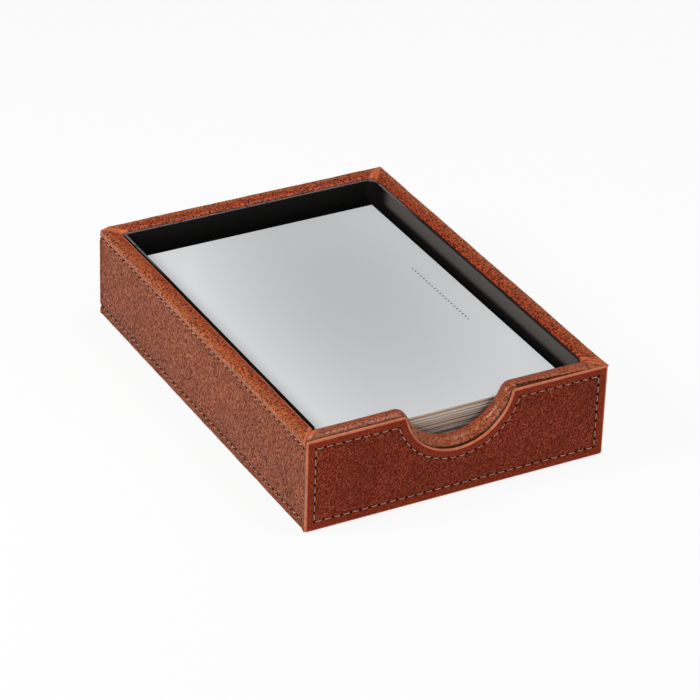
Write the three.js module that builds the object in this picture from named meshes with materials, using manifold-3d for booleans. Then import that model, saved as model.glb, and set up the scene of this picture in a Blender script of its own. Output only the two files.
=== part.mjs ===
// Leather memo tray: an open box of leather-covered boards with a black lining,
// a thumb notch in its front wall, and a stack of loose note cards inside.
// Millimetres, +Z up. X runs across the tray and Y from the notched front to the back.
// The origin is at the middle of the underside, on the surface that the tray stands on.

import * as THREE from 'three';
import { mergeVertices } from 'three/addons/utils/BufferGeometryUtils.js';
import Module from 'manifold-3d';

// The cards, the room that the well leaves round them, and the tray's height. The tray's
// width and length follow from these and from the walls.
const CARD_WIDTH = 101.6;
const CARD_LENGTH = 152.4;
const CARD_THICKNESS = 0.4;
const CARD_SIDE_GAP = 4.8;
const CARD_FRONT_GAP = 0.7;
const CARD_BACK_GAP = 7.7;
const TRAY_HEIGHT = 40.3;

// Thicknesses of the sheets and boards
const LEATHER_THICKNESS = 1.2;
const WALL_BOARD_THICKNESS = 4.7;
const BASE_BOARD_THICKNESS = 4;
const PANEL_THICKNESS = 1.3;
const LINING_THICKNESS = 0.7;
const FLOOR_LINING_THICKNESS = 0.8;
const FELT_THICKNESS = 0.8;

// Gaps that the glue fills, and the gap between two mitred ends
const GLUE_LINE = 0.1;
const MITRE_GAP = 0.2;

// How the leather is folded round each wall
const RIM_ROUNDING = 2.4;
const CORNER_ROUNDING = 1.2;
const TURN_IN_DEPTH = 26;
const TURN_UNDER_WIDTH = 10;
const FELT_MARGIN = 2;

// Thumb notch in the front wall, measured on the leather
const NOTCH_RADIUS = 21.9;
const NOTCH_DEPTH = 16.3;
const NOTCH_SHOULDER = 5;

// Stitched panel on the front wall
const PANEL_SIDE_INSET = 0.1;
const PANEL_TOP_DROP = 0.7;
const PANEL_NOTCH_RADIUS = 22.7;
const PANEL_NOTCH_REVEAL = 3.5;
const PANEL_NOTCH_CORNER = 1;
const PANEL_CORNER = 0.8;
const PANEL_EDGE_ROUNDING = 0.4;

// Seams: each thread lies in a shallow groove and dips at every needle hole
const PANEL_SEAM_INSET = 3.8;
const WALL_SEAM_DROP = 4.2;
const WALL_SEAM_RISE = 3.9;
const WALL_SEAM_END = 0.9;
const STITCH_PITCH = 3.8;
const THREAD_WIDTH = 0.7;
const THREAD_PROUD = 0.3;
const THREAD_DIP = 0.15;
const GROOVE_DEPTH = 0.6;
const GROOVE_CLEARANCE = 0.1;

// Black lining
const LINING_DROP = 1;
const LINING_CORNER_RADIUS = 4;
const LINING_BUTT_GAP = 0.15;

// How the cards lie
const CARD_AIR = 0.05;
const CARD_SIDE_SHIFT = 0.5;
const CARD_JOG = 0.2;
const PROUD_CARD_STEP = 0.4;
const CARDS_PER_BUNDLE = 6;
const LOWER_BUNDLES = 9;
const UPPER_BUNDLES = 1;

// How finely round shapes are faceted, and how far cutters reach past what they cut
const ROUNDING_STEPS = 4;
const NOTCH_STEPS = 18;
const SHOULDER_STEPS = 5;
const CORNER_STEPS = 3;
const CUTTER_OVERRUN = 5;
const MERGE_TOLERANCE = 1e-4;

// Each stitch from one needle hole to the next: share of the pitch, and if the thread is up there
const STITCH_SHARES = [
  [0, false],
  [0.3, true],
  [0.7, true],
];

// Sizes that follow from the ones above
const WALL_THICKNESS = LEATHER_THICKNESS + WALL_BOARD_THICKNESS + LEATHER_THICKNESS;
const LINING_FACE = WALL_THICKNESS + GLUE_LINE + LINING_THICKNESS;
const TRAY_WIDTH = CARD_WIDTH + 2 * (CARD_SIDE_GAP + LINING_FACE);
const BOX_LENGTH = CARD_LENGTH + CARD_FRONT_GAP + CARD_BACK_GAP + 2 * LINING_FACE;
const TRAY_LENGTH = BOX_LENGTH + GLUE_LINE + PANEL_THICKNESS;
const BOX_CENTRE_Y = (TRAY_LENGTH - BOX_LENGTH) / 2;
const SKIRT = FELT_THICKNESS + GLUE_LINE;
const BOARD_BOTTOM = SKIRT + LEATHER_THICKNESS + GLUE_LINE;
const NOTCH_BOTTOM = TRAY_HEIGHT - NOTCH_DEPTH;
const NOTCH_CENTRE = NOTCH_BOTTOM + NOTCH_RADIUS;
const PANEL_TOP = TRAY_HEIGHT - PANEL_TOP_DROP;
const PANEL_NOTCH_CENTRE = NOTCH_BOTTOM - PANEL_NOTCH_REVEAL + PANEL_NOTCH_RADIUS;
const FLOOR_TOP = BOARD_BOTTOM + BASE_BOARD_THICKNESS + GLUE_LINE + FLOOR_LINING_THICKNESS;
const LINING_TOP = TRAY_HEIGHT - LINING_DROP;
const STACK_FRONT_Y = PANEL_THICKNESS + GLUE_LINE + LINING_FACE + CARD_FRONT_GAP - TRAY_LENGTH / 2;
const BUNDLE_HEIGHT = CARDS_PER_BUNDLE * CARD_THICKNESS;

const wasm = await Module();
wasm.setup();

// Turns a closed geometry into a solid that can be joined and cut.
function solidFrom(geometry) {
  for (const name of ['normal', 'uv']) geometry.deleteAttribute(name);
  const merged = mergeVertices(geometry, MERGE_TOLERANCE);
  const mesh = new wasm.Mesh({
    numProp: 3,
    vertProperties: merged.attributes.position.array,
    triVerts: new Uint32Array(merged.index.array),
  });
  return new wasm.Manifold(mesh);
}

// Turns a solid back into a geometry with flat faces.
function geometryFrom(solid) {
  const { numProp, numVert, vertProperties, triVerts } = solid.getMesh();
  const positions = new Float32Array(numVert * 3);
  for (let i = 0; i < numVert; i++) {
    positions.set(vertProperties.subarray(i * numProp, i * numProp + 3), i * 3);
  }
  const geometry = new THREE.BufferGeometry();
  geometry.setAttribute('position', new THREE.BufferAttribute(positions, 3));
  geometry.setIndex(new THREE.BufferAttribute(triVerts, 1));
  const faceted = geometry.toNonIndexed();
  faceted.computeVertexNormals();
  return faceted;
}

// Joins cross-sections, each a ring of corners in order, into one closed solid.
function solidFromSections(sections, capFaces, closed = false) {
  const positions = [];
  const addFace = (...corners) => corners.forEach((c) => positions.push(...c));
  const size = sections[0].length;
  const last = closed ? sections.length : sections.length - 1;
  for (let k = 0; k < last; k++) {
    const near = sections[k];
    const far = sections[(k + 1) % sections.length];
    for (let i = 0; i < size; i++) {
      const j = (i + 1) % size;
      addFace(near[i], far[i], far[j]);
      addFace(near[i], far[j], near[j]);
    }
  }
  if (!closed) {
    for (const [a, b, c] of capFaces) {
      addFace(sections[0][a], sections[0][b], sections[0][c]);
      addFace(sections.at(-1)[a], sections.at(-1)[c], sections.at(-1)[b]);
    }
  }
  const geometry = new THREE.BufferGeometry();
  geometry.setAttribute('position', new THREE.Float32BufferAttribute(positions, 3));
  return solidFrom(geometry);
}

// A solid whose outline, seen from outside the wall, changes with its depth into the wall.
function loft(rings) {
  const sections = rings.map(({ depth, outline }) => outline.map((p) => [p.x, depth, p.y]));
  return solidFromSections(sections, THREE.ShapeUtils.triangulateShape(rings[0].outline, []));
}

// A flat sheet or board that stands in a wall between two depths.
function plate(outline, front, back) {
  return loft([front, back].map((depth) => ({ depth, outline })));
}

// A block with its lowest and highest corners given.
function block(low, high) {
  const outline = [
    new THREE.Vector2(low.x, low.z),
    new THREE.Vector2(high.x, low.z),
    new THREE.Vector2(high.x, high.z),
    new THREE.Vector2(low.x, high.z),
  ];
  return plate(outline, low.y, high.y);
}

// A flat piece with its outline drawn in plan, between two heights.
function slab(shape, bottom, top) {
  const geometry = new THREE.ExtrudeGeometry(shape, {
    depth: top - bottom,
    bevelEnabled: false,
    curveSegments: CORNER_STEPS,
  });
  return solidFrom(geometry.translate(0, 0, bottom));
}

// The point of a circle at an angle.
function onCircle(centreX, centreZ, radius, angle) {
  return new THREE.Vector2(centreX + radius * Math.cos(angle), centreZ + radius * Math.sin(angle));
}

// Points along an arc, both ends included.
function arc(centreX, centreZ, radius, from, to, steps) {
  const points = [];
  for (let i = 0; i <= steps; i++) {
    points.push(onCircle(centreX, centreZ, radius, from + ((to - from) * i) / steps));
  }
  return points;
}

// The top edge from right to left through the thumb notch. The notch and its rounded
// shoulders keep their centres when the edge is drawn in by inset.
function notchedEdge(notch, inset) {
  const { radius, centre, shoulder, top } = notch;
  const shoulderZ = top - shoulder;
  const shoulderX = Math.sqrt((radius + shoulder) ** 2 - (centre - shoulderZ) ** 2);
  const lean = Math.atan2(centre - shoulderZ, shoulderX);
  const quarter = Math.PI / 2;
  const bend = shoulder - inset;
  const right = arc(shoulderX, shoulderZ, bend, quarter, Math.PI - lean, SHOULDER_STEPS);
  const hollow = arc(0, centre, radius + inset, -lean, lean - Math.PI, NOTCH_STEPS);
  const left = arc(-shoulderX, shoulderZ, bend, lean, quarter, SHOULDER_STEPS);
  return [...right, ...hollow.slice(1, -1), ...left];
}

const WALL_NOTCH = {
  radius: NOTCH_RADIUS,
  centre: NOTCH_CENTRE,
  shoulder: NOTCH_SHOULDER,
  top: TRAY_HEIGHT,
};

// A wall's outline, drawn in by inset along its rim. Its ends run on, to be mitred later.
function wallOutline(halfSpan, bottom, inset, notch) {
  const top = TRAY_HEIGHT - inset;
  const end = halfSpan + CUTTER_OVERRUN;
  const rim = notch ? notchedEdge(notch, inset) : [];
  return [
    new THREE.Vector2(-end, bottom),
    new THREE.Vector2(end, bottom),
    new THREE.Vector2(end, top),
    ...rim,
    new THREE.Vector2(-end, top),
  ];
}

// A wall with a rounded rim, inset on every side from the leather's outer surface.
function roundedWall(halfSpan, bottom, inset, notch) {
  const rounding = RIM_ROUNDING - inset;
  const rings = [];
  for (let i = 0; i <= ROUNDING_STEPS; i++) {
    const angle = ((Math.PI / 2) * i) / ROUNDING_STEPS;
    const drawnIn = inset + rounding * (1 - Math.sin(angle));
    const depth = inset + rounding * (1 - Math.cos(angle));
    rings.push({ depth, outline: wallOutline(halfSpan, bottom, drawnIn, notch) });
  }
  const inner = [...rings].reverse();
  return loft([...rings, ...inner.map((r) => ({ ...r, depth: WALL_THICKNESS - r.depth }))]);
}

// The wedge that gives a wall its mitred ends.
function mitreWedge(halfSpan) {
  const reach = TURN_UNDER_WIDTH + CUTTER_OVERRUN;
  const end = halfSpan - MITRE_GAP / 2;
  const plan = new THREE.Shape([
    new THREE.Vector2(-end, 0),
    new THREE.Vector2(end, 0),
    new THREE.Vector2(end - reach, reach),
    new THREE.Vector2(-end + reach, reach),
  ]);
  return slab(plan, 0, TRAY_HEIGHT + CUTTER_OVERRUN);
}

// Takes the sharpness off the upright corners of the leather.
function roundUprightCorners(solid, halfSpan) {
  const reach = TURN_UNDER_WIDTH + CUTTER_OVERRUN;
  const plan = new THREE.Shape();
  plan.moveTo(-halfSpan, reach);
  plan.lineTo(-halfSpan, CORNER_ROUNDING);
  plan.absarc(CORNER_ROUNDING - halfSpan, CORNER_ROUNDING, CORNER_ROUNDING, Math.PI, 1.5 * Math.PI);
  plan.absarc(halfSpan - CORNER_ROUNDING, CORNER_ROUNDING, CORNER_ROUNDING, -Math.PI / 2, 0);
  plan.lineTo(halfSpan, reach);
  return solid.intersect(slab(plan, 0, TRAY_HEIGHT + CUTTER_OVERRUN));
}

// The board inside a wall.
function wallBoard(halfSpan, notch) {
  const blank = roundedWall(halfSpan, BOARD_BOTTOM, LEATHER_THICKNESS + GLUE_LINE, notch);
  return blank.intersect(mitreWedge(halfSpan));
}

// The leather folded round a board: under the base, up the outside, over the rim and
// down the inside as far as the turn-in goes.
function wallLeather(halfSpan, notch) {
  const skin = roundedWall(halfSpan, SKIRT, 0, notch);
  const end = halfSpan + CUTTER_OVERRUN;
  const bed = SKIRT + LEATHER_THICKNESS;
  const turnUnder = block(
    new THREE.Vector3(-end, 0, SKIRT),
    new THREE.Vector3(end, TURN_UNDER_WIDTH, bed),
  );
  const hollow = roundedWall(halfSpan, bed, LEATHER_THICKNESS, notch);
  const belowTurnIn = block(
    new THREE.Vector3(-end, WALL_THICKNESS / 2, bed),
    new THREE.Vector3(end, WALL_THICKNESS + CUTTER_OVERRUN, TRAY_HEIGHT - TURN_IN_DEPTH),
  );
  const folded = skin.add(turnUnder).subtract(hollow).subtract(belowTurnIn);
  return roundUprightCorners(folded.intersect(mitreWedge(halfSpan)), halfSpan);
}

// A straight run of a seam.
function straightRun(from, to) {
  return { straight: true, length: from.distanceTo(to), at: (t) => from.clone().lerp(to, t) };
}

// Points along a seam, with a needle hole at both ends of each run. A groove needs no
// points inside a straight run.
function seamStations(runs, closed, forGroove) {
  const stations = [];
  for (const { straight, length, at } of runs) {
    const count = Math.max(1, Math.round(length / STITCH_PITCH));
    for (let i = 0; i < count; i++) {
      for (const [share, up] of STITCH_SHARES) {
        if (forGroove && straight && i + share > 0) continue;
        const threadRise = up ? THREAD_PROUD : -THREAD_DIP;
        stations.push({ point: at((i + share) / count), rise: forGroove ? CUTTER_OVERRUN : threadRise });
      }
    }
  }
  const rise = forGroove ? CUTTER_OVERRUN : -THREAD_DIP;
  if (!closed) stations.push({ point: runs.at(-1).at(1), rise });
  return stations;
}

// A strip of square section that follows stations on a wall's outer face at depth zero.
// Where the line turns, the strip keeps its width on both sides of the turn.
function strip(stations, width, depth, closed) {
  const count = stations.length;
  const heading = (i) => {
    const [from, to] = [stations[i % count].point, stations[(i + 1) % count].point];
    return to.clone().sub(from).normalize();
  };
  const sections = stations.map(({ point, rise }, i) => {
    const into = heading(closed ? i + count - 1 : Math.max(i - 1, 0));
    const out = heading(closed ? i : Math.min(i, count - 2));
    const along = into.clone().add(out).normalize();
    const side = new THREE.Vector2(-along.y, along.x).multiplyScalar(width / 2 / along.dot(into));
    const left = point.clone().add(side);
    const right = point.clone().sub(side);
    return [
      [left.x, -rise, left.y],
      [left.x, depth, left.y],
      [right.x, depth, right.y],
      [right.x, -rise, right.y],
    ];
  });
  return solidFromSections(sections, [[0, 1, 2], [0, 2, 3]], closed);
}

// The thread of a seam.
function seamThreadSolid(runs, closed) {
  const stations = seamStations(runs, closed, false);
  return strip(stations, THREAD_WIDTH, GROOVE_DEPTH - GROOVE_CLEARANCE, closed);
}

// The cutter for the groove that a thread lies in.
function grooveCutter(runs, closed) {
  const stations = seamStations(runs, closed, true);
  return strip(stations, THREAD_WIDTH + 2 * GROOVE_CLEARANCE, GROOVE_DEPTH, closed);
}

// The two straight seams of a plain wall, along its rim and along its foot.
function wallSeams(halfSpan) {
  const end = halfSpan - CORNER_ROUNDING - WALL_SEAM_END;
  const heights = { top: TRAY_HEIGHT - WALL_SEAM_DROP, bottom: SKIRT + WALL_SEAM_RISE };
  return Object.entries(heights).map(([place, z]) => {
    const run = (half) => [straightRun(new THREE.Vector2(-half, z), new THREE.Vector2(half, z))];
    const thread = seamThreadSolid(run(end), false);
    return { place, thread, groove: grooveCutter(run(end + GROOVE_CLEARANCE), false) };
  });
}

// The seam round the front panel: along its edges and round below the thumb notch.
function panelSeam() {
  const side = TRAY_WIDTH / 2 - PANEL_SIDE_INSET - PANEL_SEAM_INSET;
  const foot = SKIRT + PANEL_SEAM_INSET;
  const head = PANEL_TOP - PANEL_SEAM_INSET;
  const radius = PANEL_NOTCH_RADIUS + PANEL_SEAM_INSET;
  const lean = Math.asin((PANEL_NOTCH_CENTRE - head) / radius);
  const sweep = Math.PI - 2 * lean;
  const notchX = radius * Math.cos(lean);
  const corner = (x, z) => new THREE.Vector2(x, z);
  const notchRun = {
    length: radius * sweep,
    at: (t) => onCircle(0, PANEL_NOTCH_CENTRE, radius, -lean - sweep * t),
  };
  const runs = [
    straightRun(corner(-side, foot), corner(side, foot)),
    straightRun(corner(side, foot), corner(side, head)),
    straightRun(corner(side, head), corner(notchX, head)),
    notchRun,
    straightRun(corner(-notchX, head), corner(-side, head)),
    straightRun(corner(-side, head), corner(-side, foot)),
  ];
  return { thread: seamThreadSolid(runs, true), groove: grooveCutter(runs, true) };
}

// The front panel's outline, drawn in by inset on every side.
function panelOutline(inset) {
  const notch = {
    radius: PANEL_NOTCH_RADIUS,
    centre: PANEL_NOTCH_CENTRE,
    shoulder: PANEL_NOTCH_CORNER,
    top: PANEL_TOP,
  };
  const x = TRAY_WIDTH / 2 - PANEL_SIDE_INSET - PANEL_CORNER;
  const low = SKIRT + PANEL_CORNER;
  const high = PANEL_TOP - PANEL_CORNER;
  const bend = PANEL_CORNER - inset;
  const quarter = Math.PI / 2;
  return [
    ...arc(-x, low, bend, 2 * quarter, 3 * quarter, CORNER_STEPS),
    ...arc(x, low, bend, 3 * quarter, 4 * quarter, CORNER_STEPS),
    ...arc(x, high, bend, 0, quarter, CORNER_STEPS),
    ...notchedEdge(notch, inset),
    ...arc(-x, high, bend, quarter, 2 * quarter, CORNER_STEPS),
  ];
}

// The stitched leather panel on the front wall. Depth zero is its outer face.
function frontPanel(groove) {
  const rings = [];
  for (let i = 0; i <= CORNER_STEPS; i++) {
    const angle = ((Math.PI / 2) * i) / CORNER_STEPS;
    const outline = panelOutline(PANEL_EDGE_ROUNDING * (1 - Math.sin(angle)));
    rings.push({ depth: PANEL_EDGE_ROUNDING * (1 - Math.cos(angle)), outline });
  }
  return loft([...rings, { depth: PANEL_THICKNESS, outline: panelOutline(0) }]).subtract(groove);
}

// A lining sheet against a wall, notched like the wall if the wall is.
function wallLining(fromX, toX, notch) {
  const lowered = { ...notch, top: LINING_TOP, radius: NOTCH_RADIUS + LINING_DROP };
  const rim = notch ? notchedEdge(lowered, 0) : [];
  const outline = [
    new THREE.Vector2(fromX, FLOOR_TOP + GLUE_LINE),
    new THREE.Vector2(toX, FLOOR_TOP + GLUE_LINE),
    new THREE.Vector2(toX, LINING_TOP),
    ...rim,
    new THREE.Vector2(fromX, LINING_TOP),
  ];
  return plate(outline, WALL_THICKNESS + GLUE_LINE, LINING_FACE);
}

// The back lining bends round into the right-hand corner, where its stiff backing
// doesn't go all the way into the angle.
function backLining(halfSpan) {
  const near = WALL_THICKNESS + GLUE_LINE;
  const end = halfSpan - near;
  const bend = LINING_CORNER_RADIUS + LINING_THICKNESS;
  const plan = new THREE.Shape();
  plan.moveTo(end, near);
  plan.lineTo(end, LINING_FACE);
  plan.lineTo(bend - end, LINING_FACE);
  plan.absarc(bend - end, near + bend, LINING_CORNER_RADIUS, -Math.PI / 2, -Math.PI, true);
  plan.lineTo(-end, near + bend);
  plan.absarc(bend - end, near + bend, bend, Math.PI, 1.5 * Math.PI);
  return slab(plan, FLOOR_TOP + GLUE_LINE, LINING_TOP);
}

// Squared-up cards between two heights, a little aside from and ahead of the stack's place.
function cardBlock(bottom, top, aside, ahead) {
  const x = CARD_SIDE_SHIFT + aside;
  const y = STACK_FRONT_Y - ahead;
  return block(
    new THREE.Vector3(x - CARD_WIDTH / 2, y, bottom),
    new THREE.Vector3(x + CARD_WIDTH / 2, y + CARD_LENGTH, top),
  );
}

// A pack of cards in bundles, each a little out of line with the next.
function cardPack(bottom, bundles) {
  const blocks = [];
  for (let i = 0; i < bundles; i++) {
    const low = bottom + i * BUNDLE_HEIGHT;
    const lap = i > 0 ? CARD_THICKNESS : 0;
    const [aside, ahead] = [CARD_JOG * Math.sin(i * i), CARD_JOG * Math.cos(i * i)];
    blocks.push(cardBlock(low - lap, low + BUNDLE_HEIGHT, aside, ahead));
  }
  return blocks.reduce((pack, next) => pack.add(next));
}

const finish = (color, roughness) =>
  new THREE.MeshStandardMaterial({ color, roughness, metalness: 0, side: THREE.FrontSide });
const tanLeather = finish(0x8c3f22, 0.5);
const blackLining = finish(0x1a1818, 0.9);
const boardFibre = finish(0xa98a63, 0.85);
const blackFelt = finish(0x161514, 1);
const seamThread = finish(0xc4a791, 0.7);
const cardStock = finish(0xd6d7d8, 0.45);

function part(name, solid, material) {
  const mesh = new THREE.Mesh(geometryFrom(solid), material);
  mesh.name = name;
  return mesh;
}

const tray = new THREE.Group();

// A wall's own frame has its outer face at depth zero, looking out along -Y.
function wallGroup(x, y, turn) {
  const group = new THREE.Group();
  group.position.set(x, y, 0);
  group.rotation.z = turn;
  tray.add(group);
  return group;
}

const HALF_WIDTH = TRAY_WIDTH / 2;
const HALF_BOX = BOX_LENGTH / 2;
const frontY = BOX_CENTRE_Y - HALF_BOX;

// Front wall with its notch, its stitched panel and the panel's thread
const front = wallGroup(0, frontY, 0);
const innerHalfWidth = HALF_WIDTH - WALL_THICKNESS - GLUE_LINE;
front.add(
  part('front_board', wallBoard(HALF_WIDTH, WALL_NOTCH), boardFibre),
  part('front_leather', wallLeather(HALF_WIDTH, WALL_NOTCH), tanLeather),
  part('front_lining', wallLining(-innerHalfWidth, innerHalfWidth, WALL_NOTCH), blackLining),
);
const overlay = wallGroup(0, -TRAY_LENGTH / 2, 0);
const overlaySeam = panelSeam();
overlay.add(
  part('front_panel', frontPanel(overlaySeam.groove), tanLeather),
  part('front_panel_thread', overlaySeam.thread, seamThread),
);

// Plain walls: board, leather with two grooves, and the two threads
function plainWall(name, group, halfSpan) {
  let leather = wallLeather(halfSpan, null);
  for (const { place, thread, groove } of wallSeams(halfSpan)) {
    leather = leather.subtract(groove);
    group.add(part(`${name}_${place}_thread`, thread, seamThread));
  }
  group.add(part(`${name}_board`, wallBoard(halfSpan, null), boardFibre));
  group.add(part(`${name}_leather`, leather, tanLeather));
}

const back = wallGroup(0, BOX_CENTRE_Y + HALF_BOX, Math.PI);
const left = wallGroup(-HALF_WIDTH, BOX_CENTRE_Y, -Math.PI / 2);
const right = wallGroup(HALF_WIDTH, BOX_CENTRE_Y, Math.PI / 2);
plainWall('back', back, HALF_WIDTH);
plainWall('left', left, HALF_BOX);
plainWall('right', right, HALF_BOX);

// Linings of the plain walls. The side sheets butt between the front and back ones.
const sideEnd = HALF_BOX - LINING_FACE - LINING_BUTT_GAP;
const cornerEnd = HALF_BOX - WALL_THICKNESS - GLUE_LINE - LINING_CORNER_RADIUS - LINING_THICKNESS;
back.add(part('back_lining', backLining(HALF_WIDTH), blackLining));
left.add(part('left_lining', wallLining(-sideEnd, sideEnd, null), blackLining));
right.add(part('right_lining', wallLining(-sideEnd, cornerEnd - LINING_BUTT_GAP, null), blackLining));

// Base: board, floor lining and the felt under the tray
function level(halfX, halfY, bottom, thickness) {
  return block(
    new THREE.Vector3(-halfX, BOX_CENTRE_Y - halfY, bottom),
    new THREE.Vector3(halfX, BOX_CENTRE_Y + halfY, bottom + thickness),
  );
}
const boardFace = WALL_THICKNESS - LEATHER_THICKNESS;
const bedX = HALF_WIDTH - boardFace;
const bedY = HALF_BOX - boardFace;
const floorTopOfBoard = BOARD_BOTTOM + BASE_BOARD_THICKNESS + GLUE_LINE;
const feltX = HALF_WIDTH - FELT_MARGIN;
const feltY = HALF_BOX - FELT_MARGIN;
tray.add(
  part('base_board', level(bedX, bedY, BOARD_BOTTOM, BASE_BOARD_THICKNESS), boardFibre),
  part('floor_lining', level(bedX, bedY, floorTopOfBoard, FLOOR_LINING_THICKNESS), blackLining),
  part('base_felt', level(feltX, feltY, 0, FELT_THICKNESS), blackFelt),
);

// The loose cards from the floor up: most of them, one that stands proud, a few more
// and the top one
const lowerBottom = FLOOR_TOP + CARD_AIR;
const proudBottom = lowerBottom + LOWER_BUNDLES * BUNDLE_HEIGHT + CARD_AIR;
const upperBottom = proudBottom + CARD_THICKNESS + CARD_AIR;
const topBottom = upperBottom + UPPER_BUNDLES * BUNDLE_HEIGHT + CARD_AIR;
const proudCard = cardBlock(proudBottom, proudBottom + CARD_THICKNESS, 0, PROUD_CARD_STEP);
tray.add(
  part('note_cards_lower', cardPack(lowerBottom, LOWER_BUNDLES), cardStock),
  part('note_card_proud', proudCard, cardStock),
  part('note_cards_upper', cardPack(upperBottom, UPPER_BUNDLES), cardStock),
  part('note_card_top', cardBlock(topBottom, topBottom + CARD_THICKNESS, 0, 0), cardStock),
);

export default tray;
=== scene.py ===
"""Leather memo tray: the leather, stitching, lining, cards and stage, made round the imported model."""

import math
import random

import bmesh
import bpy
from bpy.props import FloatProperty, FloatVectorProperty, PointerProperty
from mathutils import Matrix, Vector


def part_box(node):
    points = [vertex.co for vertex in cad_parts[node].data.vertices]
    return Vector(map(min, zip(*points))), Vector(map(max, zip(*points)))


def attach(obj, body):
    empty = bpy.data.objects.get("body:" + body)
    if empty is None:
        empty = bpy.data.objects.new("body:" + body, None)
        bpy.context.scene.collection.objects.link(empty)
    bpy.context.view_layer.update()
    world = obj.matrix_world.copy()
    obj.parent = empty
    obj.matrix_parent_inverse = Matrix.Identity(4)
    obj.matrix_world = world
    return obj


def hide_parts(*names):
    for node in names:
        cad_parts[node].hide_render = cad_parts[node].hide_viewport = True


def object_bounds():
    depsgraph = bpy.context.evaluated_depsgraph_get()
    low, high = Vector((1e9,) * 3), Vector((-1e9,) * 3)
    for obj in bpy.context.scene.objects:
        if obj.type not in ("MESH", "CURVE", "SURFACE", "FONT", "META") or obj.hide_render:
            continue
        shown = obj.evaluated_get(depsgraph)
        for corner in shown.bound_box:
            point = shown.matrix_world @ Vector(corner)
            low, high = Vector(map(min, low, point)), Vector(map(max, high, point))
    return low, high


bl_info = {
    "name": "Leather Memo Tray",
    "version": (1, 0, 0),
    "blender": (4, 5, 0),
    "location": "View3D > Sidebar > Memo Tray",
    "description": "Builds a stitched leather tray with a thumb notch, a black lining and note cards",
    "category": "Add Mesh",
}

MM = 0.001

# How far a cutter runs past what it cuts
OVERRUN = 1 * MM
# A distance within which two places count as one
HAIR = 0.01 * MM
# Room between a wall's leather and its lining
LINING_ROOM = 0.1 * MM
# Depth of the leather's grain
LEATHER_RELIEF = 0.42 * MM
# How far in from the tray's sides the front wall's mitres are sure to end
MITRE_REACH = 9 * MM
# How far below the rim's top its corners are taken hold of
CORNER_DROP = 0.35 * MM
# Sides of the rods that cut the notch's curves
NOTCH_SIDES = 128
SHOULDER_SIDES = 48
LINING_NOTCH_SIDES = 96

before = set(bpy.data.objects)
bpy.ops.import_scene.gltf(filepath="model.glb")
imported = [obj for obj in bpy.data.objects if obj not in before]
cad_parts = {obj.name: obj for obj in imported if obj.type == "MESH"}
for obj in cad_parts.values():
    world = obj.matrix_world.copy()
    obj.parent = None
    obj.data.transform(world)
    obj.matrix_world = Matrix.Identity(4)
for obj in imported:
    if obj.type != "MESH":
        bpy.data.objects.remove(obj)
CAD_LOW, CAD_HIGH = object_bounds()

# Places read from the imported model
PANEL_LOW, PANEL_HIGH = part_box("front_panel")
SEAM_LOW, SEAM_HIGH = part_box("front_panel_thread")
FRONT_LOW, FRONT_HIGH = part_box("front_leather")
CARD_LOW, CARD_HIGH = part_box("note_card_top")
BACK_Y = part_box("back_leather")[1].y
HALF_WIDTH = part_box("left_leather")[0].x * -1
FRONT_Y = FRONT_LOW.y
SKIRT = FRONT_LOW.z
RIM = FRONT_HIGH.z
LINING_OUTER_X, LINING_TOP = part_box("left_lining")[0].x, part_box("left_lining")[1].z
WALL_THICKNESS = LINING_OUTER_X + HALF_WIDTH - LINING_ROOM
HALF_BOX = (BACK_Y - FRONT_Y) / 2
BOX_CENTRE_Y = (BACK_Y + FRONT_Y) / 2


def seam_height(node):
    """The height of a level seam."""
    low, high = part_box(node)
    return (low.z + high.z) / 2


TOP_SEAM = seam_height("left_top_thread")
SEAM_HEIGHTS = (TOP_SEAM, seam_height("left_bottom_thread"))

# The places of the walls: each wall is made looking out along -Y and then turned and moved
WALL_PLACES = {
    "back": Matrix.Translation((0, BACK_Y, 0)) @ Matrix.Rotation(math.pi, 4, "Z"),
    "left": Matrix.Translation((-HALF_WIDTH, BOX_CENTRE_Y, 0)) @ Matrix.Rotation(-math.pi / 2, 4, "Z"),
    "right": Matrix.Translation((HALF_WIDTH, BOX_CENTRE_Y, 0)) @ Matrix.Rotation(math.pi / 2, 4, "Z"),
    "front": Matrix.Translation((0, FRONT_Y, 0)),
}
WALL_HALF_SPANS = {"back": HALF_WIDTH, "left": HALF_BOX, "right": HALF_BOX}


def linear(red, green, blue):
    """The scene-linear colour of an sRGB colour given from 0 to 255."""
    parts = []
    for value in (red, green, blue):
        share = value / 255
        parts.append(share / 12.92 if share <= 0.04045 else ((share + 0.055) / 1.055) ** 2.4)
    return tuple(parts)


def length(name, description, millimetres):
    """A length that a user can change, given in millimetres and kept in metres."""
    return FloatProperty(name=name, description=description, default=millimetres * MM,
                         unit="LENGTH", precision=5)


def colour(name, description, red, green, blue):
    """A colour that a user can change, given as sRGB from 0 to 255."""
    return FloatVectorProperty(name=name, description=description, subtype="COLOR", size=3,
                               min=0, max=1, default=linear(red, green, blue))


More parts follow.
